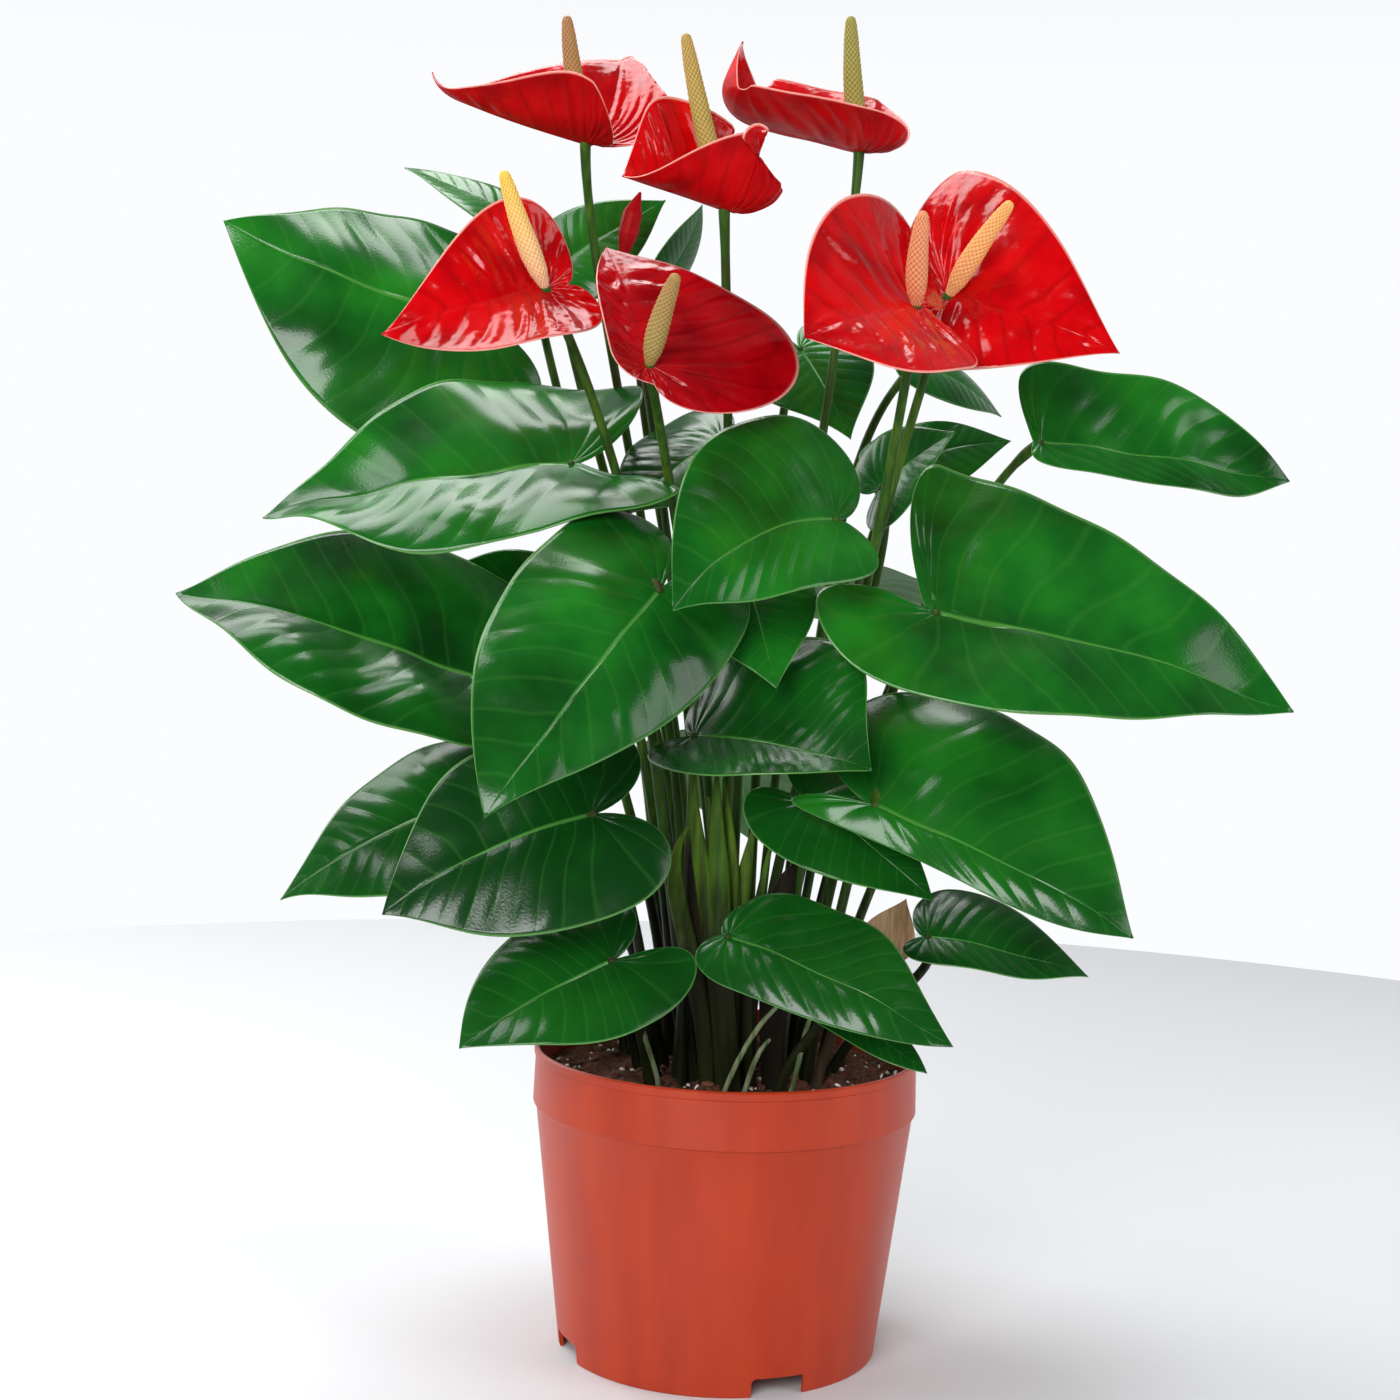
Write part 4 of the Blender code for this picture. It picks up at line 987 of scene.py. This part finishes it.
def spadix_finish(name, base, tip, pit_shade):
    """Fleshy florets, matt and close together: one colour at the base, one at the tip, and painted shade
    darkening the gaps between them.
    """
    flesh, shader = new_finish(name, IOR=1.4)
    kept = add(flesh, "Attribute", attribute_name="florets").outputs["Vector"]
    bead = add(flesh, "SeparateXYZ", {0: kept}).outputs
    body = add(flesh, "Mix", {0: bead["Y"], 6: linear(base), 7: linear(tip)}, data_type="RGBA")
    # painted shade: the gaps between the florets darken towards the pit colour
    gap_shade = add(
        flesh, "MapRange",
        {"Value": bead["X"], "From Min": -0.5, "From Max": 0.3, "To Min": 0.75, "To Max": 0},
    )
    paint = add(flesh, "Mix", {0: gap_shade.outputs[0], 6: body.outputs[2], 7: linear(pit_shade)}, data_type="RGBA")
    rough = add(flesh, "MapRange", {"Value": bead["X"], "From Min": -1, "To Min": 0.7, "To Max": 0.45})
    wear(flesh, shader, paint.outputs[2], rough.outputs[0])
    return flesh


def spadix_of(name, base, top):
    """The spike: a tapering rod with rounded tip, its florets in a crossing spiral."""
    long = np.linalg.norm(top - base)
    along = np.linspace(0, 1, int(long / SPADIX_RING) + 1)
    bow = unit(np.cross(top - base, [0.2, 1, 0])) * np.sin(math.pi * along)[:, None] * SPADIX_BOW
    # the rounded tip takes up the last 2 mm
    path = base + (top - base) * along[:, None] * (1 - SPADIX_TIP / long) + bow
    radii = np.interp(along, np.linspace(0, 1, len(SPADIX_RADII)), SPADIX_RADII)
    turns = 2 * math.pi * long / FLORET_STEP

    def lattice(share, bearing):
        return np.cos(FLORETS_ROUND * bearing) * np.cos(turns * share)

    def beads(share, bearing):
        ends = np.clip(share / 0.03, 0, 1) * np.clip((1 - share) / 0.03, 0, 1)
        return FLORET_RELIEF * ends * lattice(share, bearing)

    obj = sleeve(name, *round_ends(path, radii), SPADIX_SIDES, beads)
    bearing, _, share = noted(obj, "veins").T
    note(obj, "florets", np.stack([lattice(share, bearing), share, 0 * share], -1))
    return obj


def bloom(name, root, joint, tip, face, spadix_top, arrive=None, bow=(0, 0), rise=0.4, **form):
    """One bloom of three pieces: the red spathe, the spadix that stands on it, and the stem under it."""
    spathe, turn = blade(name + "_spathe_fine", "spathe", joint, tip, face, form, seed=sum(map(ord, name)))
    joint, top, foot = np.array(joint, float), np.array(spadix_top, float), foot_at(root)
    axis = unit(top - joint)
    way = unit(axis + 0.8 * (turn @ np.array([0, 0, 1.0])))
    end = joint - way * STEM_DROP
    if arrive is None:
        arrive = -way * np.linalg.norm(end - foot) * 0.15
    path = stalk_path(foot, end, arrive, bow, rise, STEM_SPANS)
    radii = np.full(len(path), STEM_RADIUS)
    # the stem widens a little where it carries the spathe
    radii[-6:] += np.linspace(0, 0.5, 6)
    stem = sleeve(name + "_stem_fine", *round_ends(path, radii), STEM_SIDES)
    spike = spadix_of(name + "_spadix_fine", joint + axis * SPADIX_LIFT, top)
    spathe.data.materials.append(spathe_skins.get(name, bright))
    spike.data.materials.append(spadix_skins[name])
    stem.data.materials.append(stalk_skin)
    dress(spathe, "spathe_red", name + "_spathe")
    dress(spike, "spadix_yellow", name + "_spadix")
    dress(stem, "stem_green", name + "_stem")


bright = spathe_finish("spathe_wax_bright", SPATHE_DEEP, SPATHE_RED, SPATHE_FRESH)
dark = spathe_finish("spathe_wax_dark", DARK_DEEP, DARK_RED, DARK_FRESH)
spathe_skins = {"bloom_5": dark}
spadix_skins = {
    "bloom_1": spadix_finish("spadix_tan", "#A98A4A", "#B07F50", "#7A5A2C"),
    "bloom_2": spadix_finish("spadix_olive_yellow", "#AFA04E", "#C09A52", "#7F6F2E"),
    "bloom_3": spadix_finish("spadix_olive", "#9C9442", "#A0984A", "#6A662C"),
    "bloom_4": spadix_finish("spadix_cream_yellow", "#F2C4A4", "#F4CC3C", "#D09A62"),
    "bloom_5": spadix_finish("spadix_olive_tan", "#B09A58", "#AE8450", "#86703A"),
    "bloom_6": spadix_finish("spadix_orange_cream", "#E2986A", "#E49C6C", "#B4583C"),
    "bloom_7": spadix_finish("spadix_orange_yellow", "#F6B47A", "#F0B468", "#CC8448"),
}

bloom(
    "bloom_1", root=(-9, 8), joint=(-76, 20, 531), tip=(-144, 20, 559), face=(-0.1, -0.1, 1),
    spadix_top=(-86, 20, 585), bow=(0, 31), fold=62, curl=15, hook=-60, hook_from=0.75, hook_over=0.25,
    droop=-5, turn_back=-30, width=0.95, back_l=-0.22, crown_l=0.1, narrow_l=0.14, shoulder_l=0.3,
    half_r=0.98, crown_r=-0.3, back_r=-0.9, shoulder_r=0.35,
)
bloom(
    "bloom_2", root=(-3, -2), joint=(-14, -26, 498), tip=(-57, -41, 508), face=(-0.2, -0.2, 1),
    spadix_top=(-33, -26, 570), bow=(3, 13), fold=55, lean=-5, curl=-10, droop=5, turn_back=-40, width=1.25,
    half_r=0.8, crown_r=0.45, shoulder_r=1, narrow_r=0.8, half_l=0.8, crown_l=-0.3, back_l=-1.2,
)
bloom(
    "bloom_3", root=(10, 11), joint=(44, 10, 530), tip=(-9, 10, 575), face=(0.7, -0.25, 1),
    spadix_top=(38, 10, 587), fold=50, curl=15, hook=-95, hook_from=0.5, hook_over=0.3, droop=-5,
    turn_back=-60, width=0.9, narrow=0.45, shoulder=0.7, half_l=0.48, crown_l=0, shoulder_l=0.4,
    back_r=-0.36, back_l=-0.36,
)
bloom(
    "bloom_4", root=(-23, -15), joint=(-86, -60, 459), tip=(-150, -80, 437), face=(-0.2, -0.9, 0.35),
    spadix_top=(-103, -80, 503), bow=(22, 27), fold=12, lean=6, curl=-15, half_l=0.47, crown_l=0.12,
    shoulder_l=0.62, narrow_l=0.3, back_l=-0.36, open_l=-0.06, shoulder_r=0.34, narrow_r=0.08, back_r=-0.3,
)
bloom(
    "bloom_5", root=(-4, -10), joint=(-42, -85, 428), tip=(-63, -40, 479), face=(0.2, -0.9, 0.35),
    spadix_top=(-32, -115, 461), arrive=(2, 60, -40), bow=(6, 20), fold=28, lean=28, width=1.1, half_l=0.24,
    narrow_l=0.14, back_l=-0.1, curl=8, half_r=0.84, back_r=-0.45, shoulder_r=0.45, narrow_r=0.32,
)
bloom(
    "bloom_6", root=(21, -16), joint=(64, -80, 455), tip=(18, -125, 438), face=(0, -0.75, 0.65),
    spadix_top=(64, -95, 491), bow=(10, 12), lean=-12, curl=-8, width=1.3, crown_r=-0.15, half_r=0.64,
    back_r=-0.8, open_r=-0.04, half_l=0.52, back_l=-0.05, crown_l=0.3, shoulder_l=0.75, narrow_l=0.45,
    narrow_r=0.3,
)
bloom(
    "bloom_7", root=(18, -5), joint=(81, -37, 464), tip=(150, -60, 441), face=(0.1, -0.95, 0.35),
    spadix_top=(103, -57, 501), curl=10, width=1.1, half_l=0.78, crown_l=-0.28, shoulder_l=0.25,
    narrow_l=0.16, half_r=0.42, back_r=-0.3,
)

# The young growth in the crown: a rolled red bud on its stem, two rolled green shoots, the dry brown sheath
# of a shed leaf on a thin stalk, the bundle of green and rotted sheaths that wraps the oldest stalks, and
# four thin dry roots that come down beside it. The rotted sheaths are painted nearly black, their brown
# deepened to stand for the shade deep in the crown.
SHOOT_GREEN = "#22400A"
SHOOT_PALE = "#3E5C16"
SHEATH_OLIVE = "#2E440C"
SHEATH_PALE = "#4C6818"
DRY_BROWN = "#8A6A4A"
DRY_PALE = "#B79B7C"
ROTTED_SHADE_DARK = "#0E0B08"
ROTTED_SHADE_BROWN = "#1E180E"
TWIG_GREY = "#3E4C2C"
TWIG_PALE = "#7C8866"
ROLL_RELIEF = 0.12
ROLL_TURNS = 9
SHOOT_SPANS = 60
SHOOT_SIDES = 18
SHEATH_FLAT = 0.4
ROOT_RADII = (0.8, 1.1, 1.1, 1.0)


def tapered(name, finish, slot, nodes, points, radii, flat=1):
    """A rod that swells and tapers along a curve: a rolled shoot, a bud, or a sheath pressed flat."""
    along = np.linspace(0, 1, SHOOT_SPANS + 1)
    rounded = round_ends(bezier(points, along), np.interp(along * 3, range(4), radii))

    def press(share, bearing):
        thin = flat / np.hypot(flat * np.cos(bearing), np.sin(bearing)) - 1
        lip = ROLL_RELIEF * np.cos(bearing - ROLL_TURNS * share)
        return lip + np.interp(share * 3, range(4), radii) * thin

    obj = sleeve(name, *rounded, SHOOT_SIDES, press)
    obj.data.materials.append(finish)
    dress(obj, slot, *nodes)


def young(name, dark, light, dullest, rotted=(185, 225)):
    """Streaked skin of two colours that is a little glossier in its dark streaks."""
    return streaked(
        name, [(0.35, dark), (0.65, light)], width=2.86, roughness=(dullest - 0.2, dullest), strength=0.4,
        depth=0.5, rotted=rotted,
    )


shoot_skin = young("anthurium_shoot_young", SHOOT_GREEN, SHOOT_PALE, dullest=0.65)
sheath_skin = young("leaf_sheath_green", SHEATH_OLIVE, SHEATH_PALE, dullest=0.7)
dry_skin = young("leaf_sheath_dry", DRY_BROWN, DRY_PALE, dullest=0.8, rotted=(160, 180))
# painted shade: the rotted sheaths are nearly black, rotted brown deepened to stand for the shade deep in the
# crown
rotted_shade_skin = young("leaf_sheath_rotted_shaded", ROTTED_SHADE_DARK, ROTTED_SHADE_BROWN, dullest=0.8)
twig_skin = young("root_dry_pale", TWIG_GREY, TWIG_PALE, dullest=0.7, rotted=(0, 20))

tapered(
    "bud_spathe_fine", dark, "spathe_red", ["bud_spathe"],
    points=((-58, 40, 485), (-57, 39, 494), (-55, 39, 503), (-52, 40, 512)), radii=(2.2, 4.6, 4.4, 0.8),
)
tapered(
    "bud_stem_fine", stalk_skin, "stem_green", ["bud_stem"],
    points=((-8, 24, 116), (-14, 37, 240), (-34, 70, 372), (-58, 40, 484.5)), radii=(2.0, 1.9, 1.8, 1.7),
)
tapered(
    "shoot_1_fine", shoot_skin, "shoot_green", ["shoot_1"],
    points=((-6, -32, 116), (-2, -38, 160), (-7, -43, 205), (-12, -45, 250)), radii=(3.2, 4.2, 3.4, 0.8),
)
tapered(
    "shoot_2_fine", shoot_skin, "shoot_green", ["shoot_2"],
    points=((11, -34, 116), (6, -42, 150), (7, -48, 190), (15, -50, 232)), radii=(3.0, 3.8, 3.0, 0.8),
)
crown_sheaths = (
    (sheath_skin, ((-8, -38, 112), (-8, -46, 185), (-36, -48, 212), (-20, -46, 238)), (3.5, 4.4, 4.2, 0.5)),
    (rotted_shade_skin, ((-6, -36, 112), (-8, -44, 180), (-22, -46, 212), (-17, -44, 237)), (3, 4, 3.5, 0.5)),
    (sheath_skin, ((-2, -38, 112), (-3, -48, 180), (-17, -49, 225), (-19, -45, 262)), (3.5, 4.8, 4, 0.5)),
    (shoot_skin, ((0, -38, 112), (-3, -51, 185), (-8, -51, 225), (-9, -47, 264)), (3.5, 5.4, 4.8, 0.6)),
    (sheath_skin, ((3, -36, 112), (0, -47, 185), (-1, -47, 230), (-6, -42, 258)), (3.5, 4.8, 4.2, 0.5)),
    (sheath_skin, ((4, -36, 112), (-1, -46, 190), (4, -46, 215), (8, -42, 240)), (3.5, 4.6, 4, 0.5)),
    (rotted_shade_skin, ((20, -36, 112), (17, -44, 180), (16, -44, 210), (26, -38, 222)), (4, 6, 6.5, 1)),
    (rotted_shade_skin, ((8, -36, 112), (8, -44, 170), (5, -46, 195), (2, -44, 208)), (4, 5, 4.5, 0.8)),
)
for number, (finish, points, radii) in enumerate(crown_sheaths, 1):
    tapered("crown_sheath_%d" % number, finish, "sheath_brown", [], points, radii, SHEATH_FLAT)
dry_roots = (
    ((21, -57, 166), (14, -57, 158), (4, -56, 146), (-3, -54, 120)),
    ((17, -56, 150), (13, -57, 146), (9, -55, 136), (6, -52, 120)),
    ((34, -50, 158), (31, -54, 150), (30, -55, 138), (25, -54, 120)),
    ((-38, -44, 158), (-37, -50, 150), (-30, -52, 136), (-27, -50, 120)),
)
for number, points in enumerate(dry_roots, 1):
    tapered("dry_root_%d" % number, twig_skin, "sheath_brown", [], points, ROOT_RADII)
leaf(
    "sheath_dry", root=(38, -26), joint=(66, -25, 184), tip=(75, -25, 207), face=(0.2, -1, 0.1),
    finishes=(dry_skin, dry_skin), slot="sheath_brown", width=1.1, droop=5, back_l=-0.12, back_r=-0.12,
)

# The studio: a pale matt floor, a white glow behind the plant that dims in front of it and towards the
# ceiling, and five soft lights: overhead, high on the left, and at the left, the right and the front.
FLOOR_RADIUS = 1100
FLOOR_PALE = "#DCDEE1"
GLOW_WHITE = (0.97, 0.98, 1.0, 1)
bpy.ops.mesh.primitive_circle_add(vertices=96, radius=FLOOR_RADIUS * MM, fill_type="NGON")
floor = bpy.context.object
floor.name = "floor"
paper, paper_shader = new_finish("floor_matt_pale", Base_Color=linear(FLOOR_PALE), Roughness=0.6)
floor.data.materials.append(paper)

room = bpy.data.worlds.new("white_room")
bpy.context.scene.world = room
room.use_nodes = True
way = add(room, "SeparateXYZ", {0: add(room, "TexCoord").outputs["Generated"]}).outputs
behind = add(
    room, "MapRange",
    {"Value": way["Y"], "From Min": -0.5, "From Max": 0.7, "To Min": 0.3, "To Max": 1},
    interpolation_type="SMOOTHSTEP",
)
above = add(
    room, "MapRange",
    {"Value": way["Z"], "From Min": 0.15, "From Max": 0.6, "To Min": 1, "To Max": 0.25},
    interpolation_type="SMOOTHSTEP",
)
glow = add(room, "Math", {0: behind.outputs[0], 1: above.outputs[0]}, operation="MULTIPLY")
backdrop = room.node_tree.nodes["Background"]
room.node_tree.links.new(glow.outputs[0], backdrop.inputs["Strength"])
backdrop.inputs["Color"].default_value = GLOW_WHITE


def window(name, place, aim_height, wide, high, watts):
    """A soft rectangular light that faces the plant's axis at a height; its sizes are in metres."""
    lamp = bpy.data.lights.new(name, "AREA")
    lamp.shape = "RECTANGLE"
    lamp.size = wide
    lamp.size_y = high
    lamp.energy = watts
    obj = bpy.data.objects.new(name, lamp)
    bpy.context.scene.collection.objects.link(obj)
    obj.location = place
    obj.rotation_euler = (Vector((0, 0, aim_height)) - Vector(place)).to_track_quat("-Z", "Y").to_euler()


window("skylight", (-0.4, 0.65, 1.95), aim_height=0.35, wide=1.4, high=0.9, watts=25)
window("window_high_left", (-0.88, -0.3, 1.66), aim_height=0.3, wide=0.7, high=0.5, watts=7)
window("window_left", (-1.5, 1.0, 1.2), aim_height=0.35, wide=0.9, high=1.6, watts=16)
window("window_right", (1.6, -0.7, 1.0), aim_height=0.35, wide=0.9, high=1.4, watts=14)
window("window_front", (-0.6, -1.8, 0.9), aim_height=0.3, wide=1.0, high=0.8, watts=30)

# The camera stands where the photo was taken: 1.04 m in front, at leaf height, tipped 4.4 degrees down
# and turned 2 degrees about its own line of sight.
LENS = 61
SENSOR = 36
CAMERA_PLACE = (-17, -1040, 368)
CAMERA_TIP = 4.4
CAMERA_ROLL = 2
eye = bpy.data.cameras.new("camera")
eye.lens = LENS
eye.sensor_width = SENSOR
camera = bpy.data.objects.new("camera", eye)
bpy.context.scene.collection.objects.link(camera)
camera.location = [length * MM for length in CAMERA_PLACE]
camera.rotation_mode = "ZYX"
camera.rotation_euler = (math.radians(90 - CAMERA_TIP), 0, math.radians(CAMERA_ROLL))
bpy.context.scene.camera = camera
bpy.context.scene.view_settings.view_transform = "Standard"
